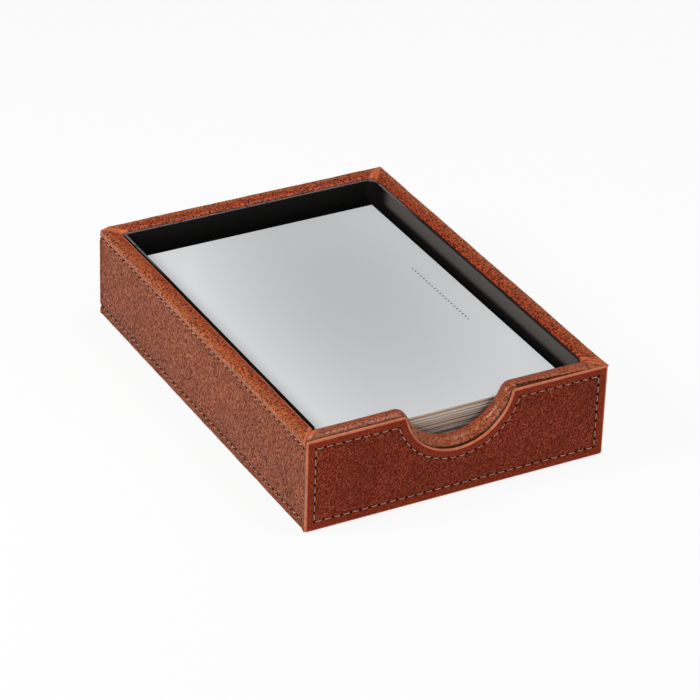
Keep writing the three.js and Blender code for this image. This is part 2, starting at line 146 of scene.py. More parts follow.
class TraySizes(bpy.types.PropertyGroup):
    """Sizes of what is seen on the tray."""

    leather: length("Leather", "Thickness of the leather", 1.2)
    turn_in: length("Turn-in", "How far the leather comes down inside a wall", 26)
    turn_under: length("Turn-under", "How far the leather goes under the base", 9.5)
    rim_rounding: length("Rim rounding", "Radius of the front rim's padded edges", 2.9)
    wall_rim_rounding: length("Wall rim rounding", "Radius of the other rims' outer edges", 1.4)
    rim_bulge: length("Rim bulge", "How far the rim stands out over the walls' seam", 0.26)
    fold_step: length("Fold step", "How far the side walls' folds stand above the front's", 0.3)
    corner_reach: length("Corner reach", "How much of the rim a drawn corner takes along", 3.2)
    foot_rounding: length("Foot rounding", "Radius of the fold at a wall's foot", 0.9)
    mesh_step: length("Mesh step", "Length of one face along a wall", 1.9)
    notch_radius: length("Notch radius", "Radius of the thumb notch in the wall", 21.9)
    notch_depth: length("Notch depth", "Depth of the thumb notch below the rim", 16.3)
    notch_shoulder: length("Notch shoulder", "Rounding where the notch meets the rim", 5)
    panel_notch_radius: length("Panel notch radius", "Radius of the notch in the panel", 22.7)
    panel_notch_reveal: length("Panel notch reveal", "How far the panel's notch lies below", 3.5)
    panel_corner: length("Panel corner", "Rounding of the panel's upper corners", 0.8)
    panel_foot_corner: length("Panel foot corner", "Rounding of the panel's lower corners", 1)
    panel_seam_inset: length("Panel seam inset", "From the panel's edge to its seam", 3.8)
    stitch_pitch: length("Stitch pitch", "From one needle hole to the next", 3.8)
    thread: length("Thread", "Thickness of the thread", 0.3)
    needle_hole: length("Needle hole", "Diameter of a needle hole", 1.15)
    slot_rise: length("Slot rise", "How far the slots along the walls lie above the seam", -0.05)
    slot_slant: FloatProperty(name="Slot slant", description="Slant of the slots along the walls",
                              default=0.24, subtype="ANGLE")
    hole_depth: length("Hole depth", "Depth of a needle hole below the groove", 0.7)
    groove: length("Groove", "Depth of the groove that a seam lies in", 0.42)
    front_lining_drop: length("Front lining drop", "How far the front's lining stops below", 1.2)
    lining_notch_drop: length("Lining notch drop", "How far it stops below the notch", 3.4)
    card: length("Card", "Thickness of one note card", 0.38)
    card_jog: length("Card jog", "How far a card may lie out of line", 0.2)


class TrayColours(bpy.types.PropertyGroup):
    """Colours of what is seen on the tray."""

    leather: colour("Leather", "Body colour of the leather", 164, 74, 33)
    # Partly painted light: the rim's colours are lighter and more orange than the walls' leather, as on a
    # lit rim top.
    rim: colour("Rim", "Body colour of the rim's leather on its outer side", 200, 98, 47)
    rim_bright: colour("Rim, bright", "Colour on the ridges of the rim's leather", 230, 132, 74)
    # Partly painted shade: the rim is given this darker, redder colour towards its inner side.
    rim_inner: colour("Rim, inner", "Body colour of the rim's leather on its inner side", 188, 66, 26)
    # Partly painted shade: the panel's leather is given a darker colour than the walls', as the front lies
    # in shade.
    panel: colour("Panel", "Body colour of the front panel's leather", 146, 39, 12)
    leather_deep: colour("Leather, deep", "Colour in the leather's creases", 78, 22, 9)
    leather_bright: colour("Leather, bright", "Colour on the leather's ridges", 206, 124, 88)
    # Partly a painted highlight: the panel's rubbed edge is given a lighter colour where its rounding
    # catches light.
    burnish_and_highlight: colour("Burnished edge", "Colour of the panel's rubbed edge", 214, 118, 78)
    # Painted shade: the needle holes' insides, and the gaps beside the lining and behind the panel's edge,
    # are given this near-black colour.
    needle_hole: colour("Needle hole", "Inside of the needle holes", 12, 8, 7)
    thread: colour("Thread", "Colour of the thread", 208, 186, 171)
    lining: colour("Lining", "Colour of the lining", 28, 26, 25)
    # Painted sheen: this lighter colour is painted high inside the right wall, where light falls on the
    # lining.
    lining_sheen: colour("Lining sheen", "Colour of the worn sheen inside the right wall", 98, 93, 90)
    # Painted highlight: this pale colour is painted on the lining's top edge towards the back.
    lining_edge_highlight: colour("Lining edge", "Colour of the lining's cut edge", 118, 112, 112)
    card: colour("Card", "Colour of the note cards", 229, 231, 232)
    # Painted shade: this darker colour is painted in the top card's middle.
    card_shade: colour("Card, shade", "Colour of the top card's duller middle", 199, 200, 201)
    card_edge: colour("Card edge", "Colour of the cards' cut edges", 232, 208, 180)
    card_edge_dark: colour("Card edge, dark", "Colour of the darker cut edges", 168, 132, 104)
    ink: colour("Ink", "Colour of the fine dots on the top card", 70, 72, 76)
    board: colour("Board", "Colour of the boards", 168, 138, 99)
    felt: colour("Felt", "Colour of the felt", 22, 21, 20)
    floor: colour("Floor", "Colour of the floor", 245, 245, 245)


def sizes():
    """The tray's sizes, as the scene holds them."""
    return bpy.context.scene.tray_sizes


def wall_notch_z():
    """The height of the middle of the circle that shapes the notch in the wall."""
    s = sizes()
    return RIM - s.notch_depth + s.notch_radius


def panel_notch_z():
    """The height of the middle of the circle that shapes the notch in the panel."""
    s = sizes()
    return RIM - s.notch_depth - s.panel_notch_reveal + s.panel_notch_radius


class Wire:
    """A shader socket on which Python's arithmetic adds Math nodes."""

    def __init__(self, finish, socket):
        self.finish = finish
        self.socket = socket

    def __add__(self, other):
        return self.finish.math_node("ADD", self, other)

    def __sub__(self, other):
        return self.finish.math_node("SUBTRACT", self, other)

    def __rsub__(self, other):
        return self.finish.math_node("SUBTRACT", other, self)

    def __mul__(self, other):
        return self.finish.math_node("MULTIPLY", self, other)

    def __truediv__(self, other):
        return self.finish.math_node("DIVIDE", self, other)

    def __pow__(self, other):
        return self.finish.math_node("POWER", self, other)

    def __abs__(self):
        return self.finish.math_node("ABSOLUTE", self)

    __radd__ = __add__
    __rmul__ = __mul__


class Finish:
    """A material in the making."""

    def __init__(self, name):
        self.material = bpy.data.materials.new(name)
        self.material.use_nodes = True
        self.tree = self.material.node_tree
        self.tree.nodes.clear()
        self.place = self.add("ShaderNodeTexCoord", output="Object")

    def add(self, kind, settings=None, sockets=None, output=0):
        """Adds a node, sets it up, fills or links its sockets and returns one of its outputs."""
        node = self.tree.nodes.new(kind)
        for key, value in (settings or {}).items():
            if key == "stops":
                self.set_stops(node.color_ramp, value)
            else:
                setattr(node, key, value)
        for key, value in (sockets or {}).items():
            if isinstance(value, Wire):
                self.tree.links.new(value.socket, node.inputs[key])
            else:
                node.inputs[key].default_value = value
        return Wire(self, node.outputs[output])

    @staticmethod
    def set_stops(ramp, stops):
        """Gives a colour ramp its stops."""
        while len(ramp.elements) < len(stops):
            ramp.elements.new(1)
        for element, (position, value) in zip(ramp.elements, stops):
            element.position = position
            element.color = (*value, 1)

    def math_node(self, operation, first, second=0):
        """A number worked out from one or two others."""
        return self.add("ShaderNodeMath", {"operation": operation}, {0: first, 1: second})

    def vector_node(self, operation, sockets):
        """A vector worked out from what is put into its sockets."""
        return self.add("ShaderNodeVectorMath", {"operation": operation}, sockets)

    def axes(self, vector=None):
        """The three coordinates of a vector, or of the place on the piece."""
        node = self.add("ShaderNodeSeparateXYZ", None, {0: vector or self.place}).socket.node
        return [Wire(self, socket) for socket in node.outputs]

    def stretched(self, scale, turn=(0, 0, 0)):
        """The place on the piece, turned and with its axes scaled, so that a pattern is
        drawn out."""
        turned = self.add("ShaderNodeMapping", None, {"Vector": self.place, "Rotation": turn})
        return self.add("ShaderNodeMapping", None, {"Vector": turned, "Scale": scale})

    def warped(self, size, reach):
        """The place on the piece, pushed about by noise."""
        push = self.add("ShaderNodeTexNoise", None, {"Vector": self.place, "Scale": 1 / size}, "Color")
        middle = self.vector_node("SUBTRACT", {0: push, 1: (0.5, 0.5, 0.5)})
        far = self.vector_node("SCALE", {0: middle, "Scale": 2 * reach})
        return self.vector_node("ADD", {0: self.place, 1: far})

    def ramp(self, value, *stops):
        """A colour by value, from stops of position and colour."""
        return self.add("ShaderNodeValToRGB", {"stops": stops}, {"Fac": value})

    def noise(self, size, detail=2, roughness=0.5, vector=None, distortion=0):
        """Noise whose features are about size across."""
        return self.add("ShaderNodeTexNoise", None, {
            "Vector": vector or self.place, "Scale": 1 / size, "Detail": detail,
            "Roughness": roughness, "Distortion": distortion})

    def cells(self, size, vector):
        """Cells about size across: the distance from each cell's middle."""
        return self.add("ShaderNodeTexVoronoi", None, {"Vector": vector, "Scale": 1 / size}, "Distance")

    def step(self, value, low, high):
        """Rises smoothly from 0 to 1 as the value goes from low to high."""
        return self.add("ShaderNodeMapRange", {"interpolation_type": "SMOOTHSTEP"},
                        {"Value": value, "From Min": low, "From Max": high})

    def mix(self, factor, first, second):
        """Mixes two colours."""
        first, second = [c if isinstance(c, Wire) else (*c, 1) for c in (first, second)]
        return self.add("ShaderNodeMix", {"data_type": "RGBA"}, {0: factor, 6: first, 7: second}, output=2)

    def bump(self, height, depth, strength=1, normal=None):
        """A bump of a height from 0 to 1 that stands for a real depth."""
        sockets = {"Height": height, "Distance": depth, "Strength": strength}
        if normal:
            sockets["Normal"] = normal
        return self.add("ShaderNodeBump", None, sockets)

    def surface(self, **sockets):
        """Completes the material with a Principled shader."""
        names = {name.replace("_", " "): value for name, value in sockets.items()}
        self.show(self.add("ShaderNodeBsdfPrincipled", None, names))

    def show(self, shader):
        """Leads a shader to the material's output."""
        node = self.tree.nodes.new("ShaderNodeOutputMaterial")
        self.tree.links.new(shader.socket, node.inputs["Surface"])


def darker(tone, share):
    """A colour with only a share of its light."""
    return tuple(share * part for part in tone)


def leather_tones(colours, body, deep, bright):
    """Ramp stops from the creases to the ridges, with how far each end goes."""
    body = Vector(body)
    crease = body.lerp(Vector(colours.leather_deep), deep)
    ridge = body.lerp(Vector(colours.leather_bright), bright)
    return (0, tuple(crease)), (0.5, tuple(body)), (1, tuple(ridge))


def strokes(finish, size, turn):
    """A close grain of short strokes drawn out along a turned Z, from 0 to 1."""
    place = finish.stretched((1, 1, 0.45), turn)
    coarse = finish.noise(size, 0, 0.5, place, 0.2)
    fine = finish.noise(0.6 * size, 0, 0.5, place)
    return finish.add("ShaderNodeMapRange", None, {
        "Value": coarse * 0.55 + fine * 0.45, "From Min": 0.35, "From Max": 0.65})


def wall_depths(finish):
    """How far in a place lies from the side walls' outer faces, and from the end walls'."""
    x, y, z = finish.axes()
    return HALF_WIDTH - abs(x), HALF_BOX - abs(y - BOX_CENTRE_Y)


def rim_look(finish, colours):
    """The rim's tone and height: an open grain of dark pits between bright ridges, darker and redder
    towards the inside, which is partly painted shade, pale on the left wall's inner edge, and
    painted dark behind the lining as shade in the gap there."""
    pit_size, patch_size = 1.1 * MM, 2.6 * MM
    fleck_size, ridge_size = 0.8 * MM, 0.5 * MM
    warp_size, warp_reach = 0.9 * MM, 0.3 * MM
    inner_span = (WALL_THICKNESS * 0.15, WALL_THICKNESS * 0.65)
    pale_span = (WALL_THICKNESS - 1.9 * MM, WALL_THICKNESS - 1.4 * MM)
    pale_heights = (LINING_TOP - 0.2 * MM, LINING_TOP + 0.2 * MM)
    past_left_wall = (9 * MM - HALF_WIDTH, 10 * MM - HALF_WIDTH)
    crevice_shade_span = (WALL_THICKNESS - 0.7 * MM, WALL_THICKNESS - 0.4 * MM)
    crevice_shade_heights = (LINING_TOP, LINING_TOP + 0.4 * MM)

    x, y, z = finish.axes()
    depth = finish.math_node("MINIMUM", *wall_depths(finish))
    pits = 1 - finish.step(finish.cells(pit_size, finish.warped(warp_size, warp_reach)), 0.28, 0.5)
    patches = finish.step(finish.noise(patch_size, 1, 0.6), 0.38, 0.6)
    flecks = 1 - finish.step(finish.noise(fleck_size, 1, 0.5, None, 0.4), 0.38, 0.5)
    pits = finish.math_node("MAXIMUM", pits * (0.55 + patches * 0.45), flecks * 0.7)
    ridges = finish.step(finish.noise(ridge_size, 0, 0.5), 0.4, 0.64)
    # Painted shade, in part: darker and redder towards the rim's inner side.
    inner = finish.step(depth, *inner_span)
    tone = finish.mix(inner, colours.rim, colours.rim_inner)
    tone = finish.mix(ridges * (0.55 - inner * 0.25), tone, colours.rim_bright)
    tone = finish.mix(pits, tone, darker(colours.leather_deep, 0.6))
    pale = finish.step(depth, *pale_span) * finish.step(z, *pale_heights)
    pale = pale * (1 - finish.step(x, *past_left_wall))
    tone = finish.mix(pale * 0.7, tone, colours.rim_bright)
    # Painted shade in the gap between the rim's leather and the lining's top.
    crevice_shade = finish.step(depth, *crevice_shade_span) * (1 - finish.step(z, *crevice_shade_heights))
    tone = finish.mix(crevice_shade, tone, colours.needle_hole)
    return tone, ridges * 0.45 + 0.5 - pits * 0.5


def mitre_strip(finish):
    """1 on the smooth leather along the mitres of the four corners, which narrows outwards."""
    least, widening = 0.8 * MM, 1.5 * MM
    waver, waver_size = 1.2 * MM, 3 * MM
    side_depth, end_depth = wall_depths(finish)
    inward = finish.step(side_depth, 0, WALL_THICKNESS)
    reach = least + inward * widening + finish.noise(waver_size) * waver
    return 1 - finish.step(abs(side_depth - end_depth) / reach, 0.75, 1.05)


def smooth_folds(finish, colours, tone, height):
    """Makes the leather smooth where it is folded at the corners, and lighter there, partly as a
    painted highlight on the fold.
    """
    strip = mitre_strip(finish)
    # Partly a painted highlight: the folds are given a lighter colour.
    smooth = finish.mix(0.5, colours.rim, colours.burnish_and_highlight)
    return finish.mix(strip * 0.8, tone, smooth), height * (1 - strip) + strip * 0.55


def wall_leather_finish(finish, colours):
    """Leather with a grain that is drawn out up and down the wall, a smooth band above the upper seam
    that is painted lighter, partly as light on its rounded face, and an open grain on the rim."""
    stroke_size, cloud_size = 0.43 * MM, 16 * MM
    band_start = (TOP_SEAM + 0.3 * MM, TOP_SEAM + 0.7 * MM)
    rim_start = (TOP_SEAM + 1.4 * MM, TOP_SEAM + 2.1 * MM)

    z = finish.axes()[2]
    grain = strokes(finish, stroke_size, (0.5, 0, 0))
    clouds = finish.step(finish.noise(cloud_size, 3, 0.55), 0.35, 0.7)
    tone = finish.ramp(grain, *leather_tones(colours, colours.leather, 1, 1.2))
    tone = finish.mix(clouds * 0.2, tone, colours.leather_deep)
    above = finish.step(z, *band_start)
    # Partly painted light: the band above the upper seam takes the rim's lighter colours.
    band = finish.mix(0.2, colours.rim, colours.rim_bright)
    tone = finish.mix(above * 0.8, tone, band)
    height = grain * (1 - above * 0.7)
    rim, rim_height = smooth_folds(finish, colours, *rim_look(finish, colours))
    on_rim = finish.step(z, *rim_start)
    tone = finish.mix(on_rim, tone, rim)
    height = height * (1 - on_rim) + rim_height * on_rim
    finish.surface(Base_Color=tone, Roughness=0.5 - grain * 0.14 - on_rim * 0.06,
                   Normal=finish.bump(height, LEATHER_RELIEF), Specular_IOR_Level=0.08,
                   Coat_Weight=on_rim * height * 0.6, Coat_Roughness=0.3)


def rim_leather_finish(finish, colours):
    """Leather with an open grain all over, as on a rolled rim."""
    tone, height = rim_look(finish, colours)
    tone = finish.mix(0.35, tone, colours.leather)
    tone, height = smooth_folds(finish, colours, tone, height)
    finish.surface(Base_Color=tone, Roughness=0.46 - height * 0.16,
                   Normal=finish.bump(height, LEATHER_RELIEF), Specular_IOR_Level=0.3,
                   Coat_Weight=height, Coat_Roughness=0.26)


def panel_margin(finish):
    """1 on the smooth margin of the panel, between its edge and its seam."""
    s = sizes()
    soft, seam_room = 0.7 * MM, 0.9 * MM
    wide = s.panel_seam_inset - seam_room
    radius = s.panel_notch_radius + wide
    x, y, z = finish.axes()
    away = (x ** 2 + (z - panel_notch_z()) ** 2) ** 0.5
    margin = finish.step(abs(x), PANEL_HIGH.x - wide - soft, PANEL_HIGH.x - wide)
    head = finish.step(z, PANEL_HIGH.z - wide - soft, PANEL_HIGH.z - wide)
    foot = 1 - finish.step(z, PANEL_LOW.z + wide, PANEL_LOW.z + wide + soft)
    notch = 1 - finish.step(away, radius, radius + soft)
    for part in (head, foot, notch):
        margin = finish.math_node("MAXIMUM", margin, part)
    return margin


def panel_leather_finish(finish, colours):
    """Firmer leather, painted darker than the walls' partly as shade on the front, with short slanting
    creases and a smooth margin.
    """
    crease_size, crease_depth = 0.42 * MM, 0.36 * MM
    speck_size, streak_size, cloud_size = 0.7 * MM, 2.2 * MM, 20 * MM

    margin = panel_margin(finish)
    creases = strokes(finish, crease_size, (0, -0.6, 0))
    specks = finish.noise(speck_size, 2, 0.6)
    clouds = finish.noise(cloud_size, 3, 0.55)
    tone = finish.ramp(creases, *leather_tones(colours, colours.panel, 0.9, 0.5))
    tone = finish.mix(finish.step(specks, 0.52, 0.64) * 0.3, tone, colours.leather_deep)
    tone = finish.mix(finish.step(clouds, 0.35, 0.7) * 0.3, tone, colours.leather_deep)
    smooth = finish.mix(finish.noise(streak_size, 4, 0.65) * 0.45, colours.panel, colours.leather)
    tone = finish.mix(margin * 0.4, tone, smooth)
    height = (creases * 0.8 + specks * 0.2) * (1 - margin * 0.5)
    finish.surface(Base_Color=tone, Roughness=0.5 - creases * 0.12,
                   Normal=finish.bump(height, crease_depth), Specular_IOR_Level=0.06)


def burnished_finish(finish, colours):
    """The panel's rubbed edge: smooth, a little glossy, and lighter, partly as a painted highlight where
    its rounding catches light. It is painted dark along its back as shade in the gap behind it.
    """
    streak_size, streak_depth = 2.5 * MM, 0.1 * MM
    gap_shade_span = (PANEL_HIGH.y - 0.65 * MM, PANEL_HIGH.y - 0.4 * MM)

    streaks = finish.noise(streak_size, 3, 0.6)
    tone = finish.mix(finish.step(streaks, 0.35, 0.7) * 0.5, colours.burnish_and_highlight, colours.leather)
    # Painted shade along the back of the edge, in the gap behind the panel's edge.
    gap_shade = finish.step(finish.axes()[1], *gap_shade_span)
    tone = finish.mix(gap_shade * 0.92, tone, colours.needle_hole)
    finish.surface(Base_Color=tone, Roughness=0.38, Normal=finish.bump(streaks, streak_depth, 0.5))


def hole_finish(finish, colours):
    """The inside of a needle hole, painted dark as shade."""
    grain_size = 0.2 * MM
    tone = finish.mix(finish.noise(grain_size), colours.needle_hole, (0, 0, 0))
    finish.surface(Base_Color=tone, Roughness=0.95, Specular_IOR_Level=0.1)


def thread_finish(finish, colours):
    """Waxed thread, with its twist."""
    twist_length, twist_depth, dirt_size = 0.5 * MM, 0.06 * MM, 1.6 * MM
    shade = darker(colours.thread, 0.45)

    x, y, z = finish.axes()
    twist = finish.math_node("SINE", (x + y + z) * (2 * math.pi / twist_length))
    dirt = finish.noise(dirt_size, 3, 0.6)
    tone = finish.mix(finish.step(dirt, 0.45, 0.75) * 0.4, colours.thread, shade)
    tone = finish.mix(finish.step(twist, 0.2, 1) * 0.3, tone, shade)
    finish.surface(Base_Color=tone, Roughness=0.55, Normal=finish.bump(twist, twist_depth, 0.7))


def lining_finish(finish, colours):
    """Satin black lining. The cut edge along its top is painted dark at the front as shade and pale at
    the back as a highlight, and a painted sheen lies high inside the right wall."""
    weave_size, weave_depth = 0.5 * MM, 0.05 * MM
    cloud_size, cloud_depth = 9 * MM, 0.3 * MM
    highlight_break_size = 3 * MM
    edge_heights = (LINING_TOP - 0.35 * MM, LINING_TOP - 0.1 * MM)
    far_span = (BACK_Y - 50 * MM, BACK_Y - 15 * MM)
    sheen_heights = (LINING_TOP - 8 * MM, LINING_TOP - 5 * MM)
    right_wall = (HALF_WIDTH - 13 * MM, HALF_WIDTH - 12 * MM)
    sheen_end = (BACK_Y - 24 * MM, BACK_Y - 16 * MM)
    black = (0.001, 0.001, 0.001)

    x, y, z = finish.axes()
    weave = finish.noise(weave_size, 4, 0.65)
    clouds = finish.noise(cloud_size, 3, 0.5)
    edge = finish.step(z, *edge_heights)
    far = finish.step(y, *far_span)
    # Painted sheen: a lighter band high inside the right wall, where light falls on the lining.
    painted = finish.step(z, *sheen_heights) * finish.step(x, *right_wall)
    painted = painted * (1 - finish.step(y, *sheen_end))
    tone = finish.mix(weave * 0.6, colours.lining, black)
    tone = finish.mix(painted * (1 - weave * 0.25), tone, colours.lining_sheen)
    # Painted shade along the lining's top edge at the front, and a painted highlight on it towards the
    # back.
    tone = finish.mix(edge * (1 - far) * 0.9, tone, colours.needle_hole)
    pale = edge * far * finish.step(finish.noise(highlight_break_size, 3, 0.6), 0.25, 0.5)
    tone = finish.mix(pale, tone, colours.lining_edge_highlight)
    normal = finish.bump(weave, weave_depth, 0.6)
    normal = finish.bump(clouds, cloud_depth, 0.4, normal)
    finish.surface(Base_Color=tone, Roughness=0.5 + weave * 0.12 + pale * 0.1, Normal=normal,
                   Specular_IOR_Level=0.12)


def felt_finish(finish, colours):
    """Felt: short tangled fibres."""
    fibre_size, fibre_depth = 0.35 * MM, 0.25 * MM
    lump_size, lump_depth = 6 * MM, 0.3 * MM
    lint = (0.03, 0.028, 0.026)

    fibres = finish.noise(fibre_size, 5, 0.7, finish.stretched((1, 0.4, 1)), 1.5)
    lumps = finish.noise(lump_size, 3, 0.5)
    tone = finish.mix(finish.step(fibres, 0.35, 0.75), colours.felt, lint)
    normal = finish.bump(fibres, fibre_depth, 0.9)
    normal = finish.bump(lumps, lump_depth, 0.3, normal)
    finish.surface(Base_Color=tone, Roughness=0.95, Normal=normal, Sheen_Weight=0.25,
                   Sheen_Roughness=0.6, Specular_IOR_Level=0.15)


def board_finish(finish, colours):
    """Raw fibre board."""
    fibre_size, fibre_depth = 0.8 * MM, 0.1 * MM
    fibres = finish.noise(fibre_size, 5, 0.7, finish.stretched((1, 1, 3)))
    tone = finish.mix(finish.step(fibres, 0.3, 0.7), colours.board, darker(colours.board, 0.7))
    finish.surface(Base_Color=tone, Roughness=0.85, Normal=finish.bump(fibres, fibre_depth, 0.6))


def cut_edge(finish, colours):
    """1 where a card shows its cut edge, and that edge's tone, with shade painted on it low down."""
    layer_size = 0.9 * MM
    painted_shade_span = (RIM - 19 * MM, RIM - 9.5 * MM)

    z = finish.axes()[2]
    facing = finish.add("ShaderNodeNewGeometry", output="Normal")
    side = 1 - finish.step(abs(finish.axes(facing)[2]), 0.3, 0.8)
    layers = finish.add("ShaderNodeTexNoise", {"noise_dimensions": "1D"},
                        {"W": z, "Scale": 1 / layer_size, "Detail": 3, "Roughness": 0.75})
    tone = finish.mix(finish.step(layers, 0.4, 0.6), colours.card_edge, colours.card_edge_dark)
    # Painted shade: the cards' cut edges are darkened low down in the stack.
    painted_shade_below = 1 - finish.step(z, *painted_shade_span)
    return side, finish.mix(painted_shade_below * 0.6, tone, darker(colours.card_edge_dark, 0.5))


def shaded_middle(finish):
    """0 in the top card's middle, where shade is painted, rising to 1 towards its edges."""
    x, y, z = finish.axes()
    centre_x, centre_y = (CARD_LOW.x + CARD_HIGH.x) / 2, (CARD_LOW.y + CARD_HIGH.y) / 2
    down = 0.08 - (y - centre_y) / (CARD_HIGH.y - CARD_LOW.y)
    aside = (x - centre_x) / (CARD_HIGH.x - CARD_LOW.x) - 0.05 + down * 0.2
    return (aside / 0.55) ** 2 + (down / 0.75) ** 2


def dotted_rule(finish):
    """1 on the dots of a fine rule beside the top card's right-hand edge."""
    inset, pitch, radius = 11 * MM, 2.2 * MM, 0.5 * MM
    end_span = (22 * MM, 22.4 * MM)
    x, y, z = finish.axes()
    from_middle = y - (CARD_LOW.y + CARD_HIGH.y) / 2
    along = finish.math_node("PINGPONG", from_middle, pitch / 2)
    away = ((x - (CARD_HIGH.x - inset)) ** 2 + along ** 2) ** 0.5
    return (1 - finish.step(away, radius * 0.7, radius)) * (1 - finish.step(abs(from_middle), *end_span))


def card_finish(finish, colours, dotted=False):
    """Smooth white card with creamier cut edges."""
    fibre_size, fibre_depth = 0.25 * MM, 0.02 * MM
    fibre_tone = (0.6, 0.6, 0.62)
    fibres = finish.noise(fibre_size, 3, 0.6)
    side, edge = cut_edge(finish, colours)
    tone = finish.mix(finish.step(fibres, 0.3, 0.7) * 0.05, colours.card, fibre_tone)
    if dotted:
        # Painted shade in the top card's middle.
        tone = finish.mix(shaded_middle(finish), colours.card_shade, tone)
        tone = finish.mix(dotted_rule(finish), tone, colours.ink)
    tone = finish.mix(side, tone, edge)
    finish.surface(Base_Color=tone, Roughness=0.42, Normal=finish.bump(fibres, fibre_depth, 0.5),
                   Specular_IOR_Level=0.4)


def dotted_card_finish(finish, colours):
    """The top card, with shade painted in its middle and a fine dotted rule."""
    card_finish(finish, colours, True)


def floor_finish(finish, colours):
    """The pale floor, which looks white where nothing shades it."""
    cloud_size, cloud_tone = 30 * MM, (0.8, 0.8, 0.8)
    tone = finish.mix(finish.noise(cloud_size, 2) * 0.02, colours.floor, cloud_tone)
    diffuse = finish.add("ShaderNodeBsdfDiffuse", None, {"Color": tone})
    white = finish.add("ShaderNodeEmission", None, {"Color": (1, 1, 1, 1), "Strength": 1})
    ray = finish.add("ShaderNodeLightPath").socket.node
    seen = Wire(finish, ray.outputs["Is Camera Ray"])
    for kind in ("Is Glossy Ray", "Is Transmission Ray"):
        seen = finish.math_node("MAXIMUM", seen, Wire(finish, ray.outputs[kind]))
    finish.show(finish.add("ShaderNodeMixShader", None, {0: seen * 0.9, 1: diffuse, 2: white}))


FINISHES = {
    "wall_leather": wall_leather_finish,
    "rim_leather": rim_leather_finish,
    "panel_leather": panel_leather_finish,
    "burnished_edge": burnished_finish,
    "needle_hole": hole_finish,
    "waxed_thread": thread_finish,
    "satin_lining": lining_finish,
    "needled_felt": felt_finish,
    "fibre_board": board_finish,
    "plain_card": card_finish,
    "dotted_card": dotted_card_finish,
    "studio_floor": floor_finish,
}


def material(name):
    """The material of a finish, made once."""
    if name not in bpy.data.materials:
        FINISHES[name](Finish(name), bpy.context.scene.tray_colours)
    return bpy.data.materials[name]


def clear_selection():
    """Leaves edit mode and deselects everything, so that the next operator acts alone."""
    if bpy.context.object and bpy.context.object.mode != "OBJECT":
        close_mesh()
    bpy.ops.object.select_all(action="DESELECT")


def make_active(piece):
    """Selects one piece alone."""
    clear_selection()
    piece.select_set(True)
    bpy.context.view_layer.objects.active = piece


def open_mesh(piece):
    """Puts one piece alone into edit mode."""
    make_active(piece)
    bpy.ops.object.mode_set(mode="EDIT")


def close_mesh():
    """Leaves edit mode."""
    bpy.ops.object.mode_set(mode="OBJECT")


def new_block(name, low, high):
    """Adds a cube that fills the box between two corners."""
    clear_selection()
    low, high = Vector(low), Vector(high)
    bpy.ops.mesh.primitive_cube_add(size=1, location=(low + high) / 2, scale=high - low)
    piece = bpy.context.object
    piece.name = piece.data.name = name
    settle(piece)
    return piece


def settle(piece):
    """Puts a piece's place and turn into its mesh, so that its object sits at the origin."""
    make_active(piece)
    bpy.ops.object.transform_apply(location=True, rotation=True, scale=True)


def pick(piece, kind, test):
    """Selects the vertices, edges or faces of the piece in edit mode that pass a test."""
    bpy.ops.mesh.select_mode(type=kind)
    bpy.ops.mesh.select_all(action="DESELECT")
    mesh = bmesh.from_edit_mesh(piece.data)
    mesh.normal_update()
    group = {"VERT": mesh.verts, "EDGE": mesh.edges, "FACE": mesh.faces}[kind]
    for element in group:
        if test(element):
            element.select_set(True)
    mesh.select_flush_mode()
    bmesh.update_edit_mesh(piece.data)


def shift(piece, test, move):
    """Moves the vertices that pass a test, in edit mode."""
    pick(piece, "VERT", test)
    bpy.ops.transform.translate(value=move)


def remove_faces(piece, test):
    """Deletes the faces that pass a test, in edit mode."""
    pick(piece, "FACE", test)
    bpy.ops.mesh.delete(type="FACE")


def cut_all(point, normal, **options):
    """Cuts the whole mesh along a plane, in edit mode."""
    bpy.ops.mesh.select_all(action="SELECT")
    bpy.ops.mesh.bisect(plane_co=point, plane_no=normal, **options)


def inset(width, rise):
    """Draws the selected face in by a width and out by a rise, in edit mode."""
    bpy.ops.mesh.inset(thickness=width, depth=rise, use_even_offset=True)


def apply_modifier(piece, kind, **settings):
    """Adds a modifier with its settings and applies it."""
    make_active(piece)
    modifier = piece.modifiers.new(kind.title(), kind)
    for key, value in settings.items():
        setattr(modifier, key, value)
    bpy.ops.object.modifier_apply(modifier=modifier.name)


def discard(piece):
    """Deletes a helper and its mesh."""
    mesh = piece.data
    bpy.data.objects.remove(piece)
    bpy.data.meshes.remove(mesh)


def copy_of(piece, matrix):
    """A copy of a piece with a mesh of its own, moved by a matrix."""
    twin = piece.copy()
    twin.data = piece.data.copy()
    twin.data.transform(matrix)
    bpy.context.collection.objects.link(twin)
    return twin


def join(pieces, name):
    """Joins pieces into one."""
    clear_selection()
    for piece in pieces:
        piece.select_set(True)
    bpy.context.view_layer.objects.active = pieces[0]
    bpy.ops.object.join()
    pieces[0].name = pieces[0].data.name = name
    return pieces[0]


def clean(piece, merge=HAIR / 2):
    """Merges doubled vertices and turns all the faces outwards."""
    open_mesh(piece)
    bpy.ops.mesh.select_all(action="SELECT")
    bpy.ops.mesh.remove_doubles(threshold=merge)
    bpy.ops.mesh.normals_make_consistent(inside=False)
    close_mesh()


def soften(piece, degrees=35):
    """Smooth shading across every edge that is blunter than an angle."""
    make_active(piece)
    bpy.ops.object.shade_smooth_by_angle(angle=math.radians(degrees))


def dress(piece, finish, body, node):
    """Gives a piece its finish and its body, and hides the node that it stands for."""
    if not piece.data.materials:
        piece.data.materials.append(material(finish))
    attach(piece, body)
    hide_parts(node)


def quarter(centre, radii, from_degrees, steps):
    """Points round a quarter of an ellipse, turning clockwise from an angle."""
    points = []
    for i in range(steps + 1):
        angle = math.radians(from_degrees - 90 * i / steps)
        points.append((centre[0] + radii[0] * math.cos(angle), centre[1] + radii[1] * math.sin(angle)))
    return points


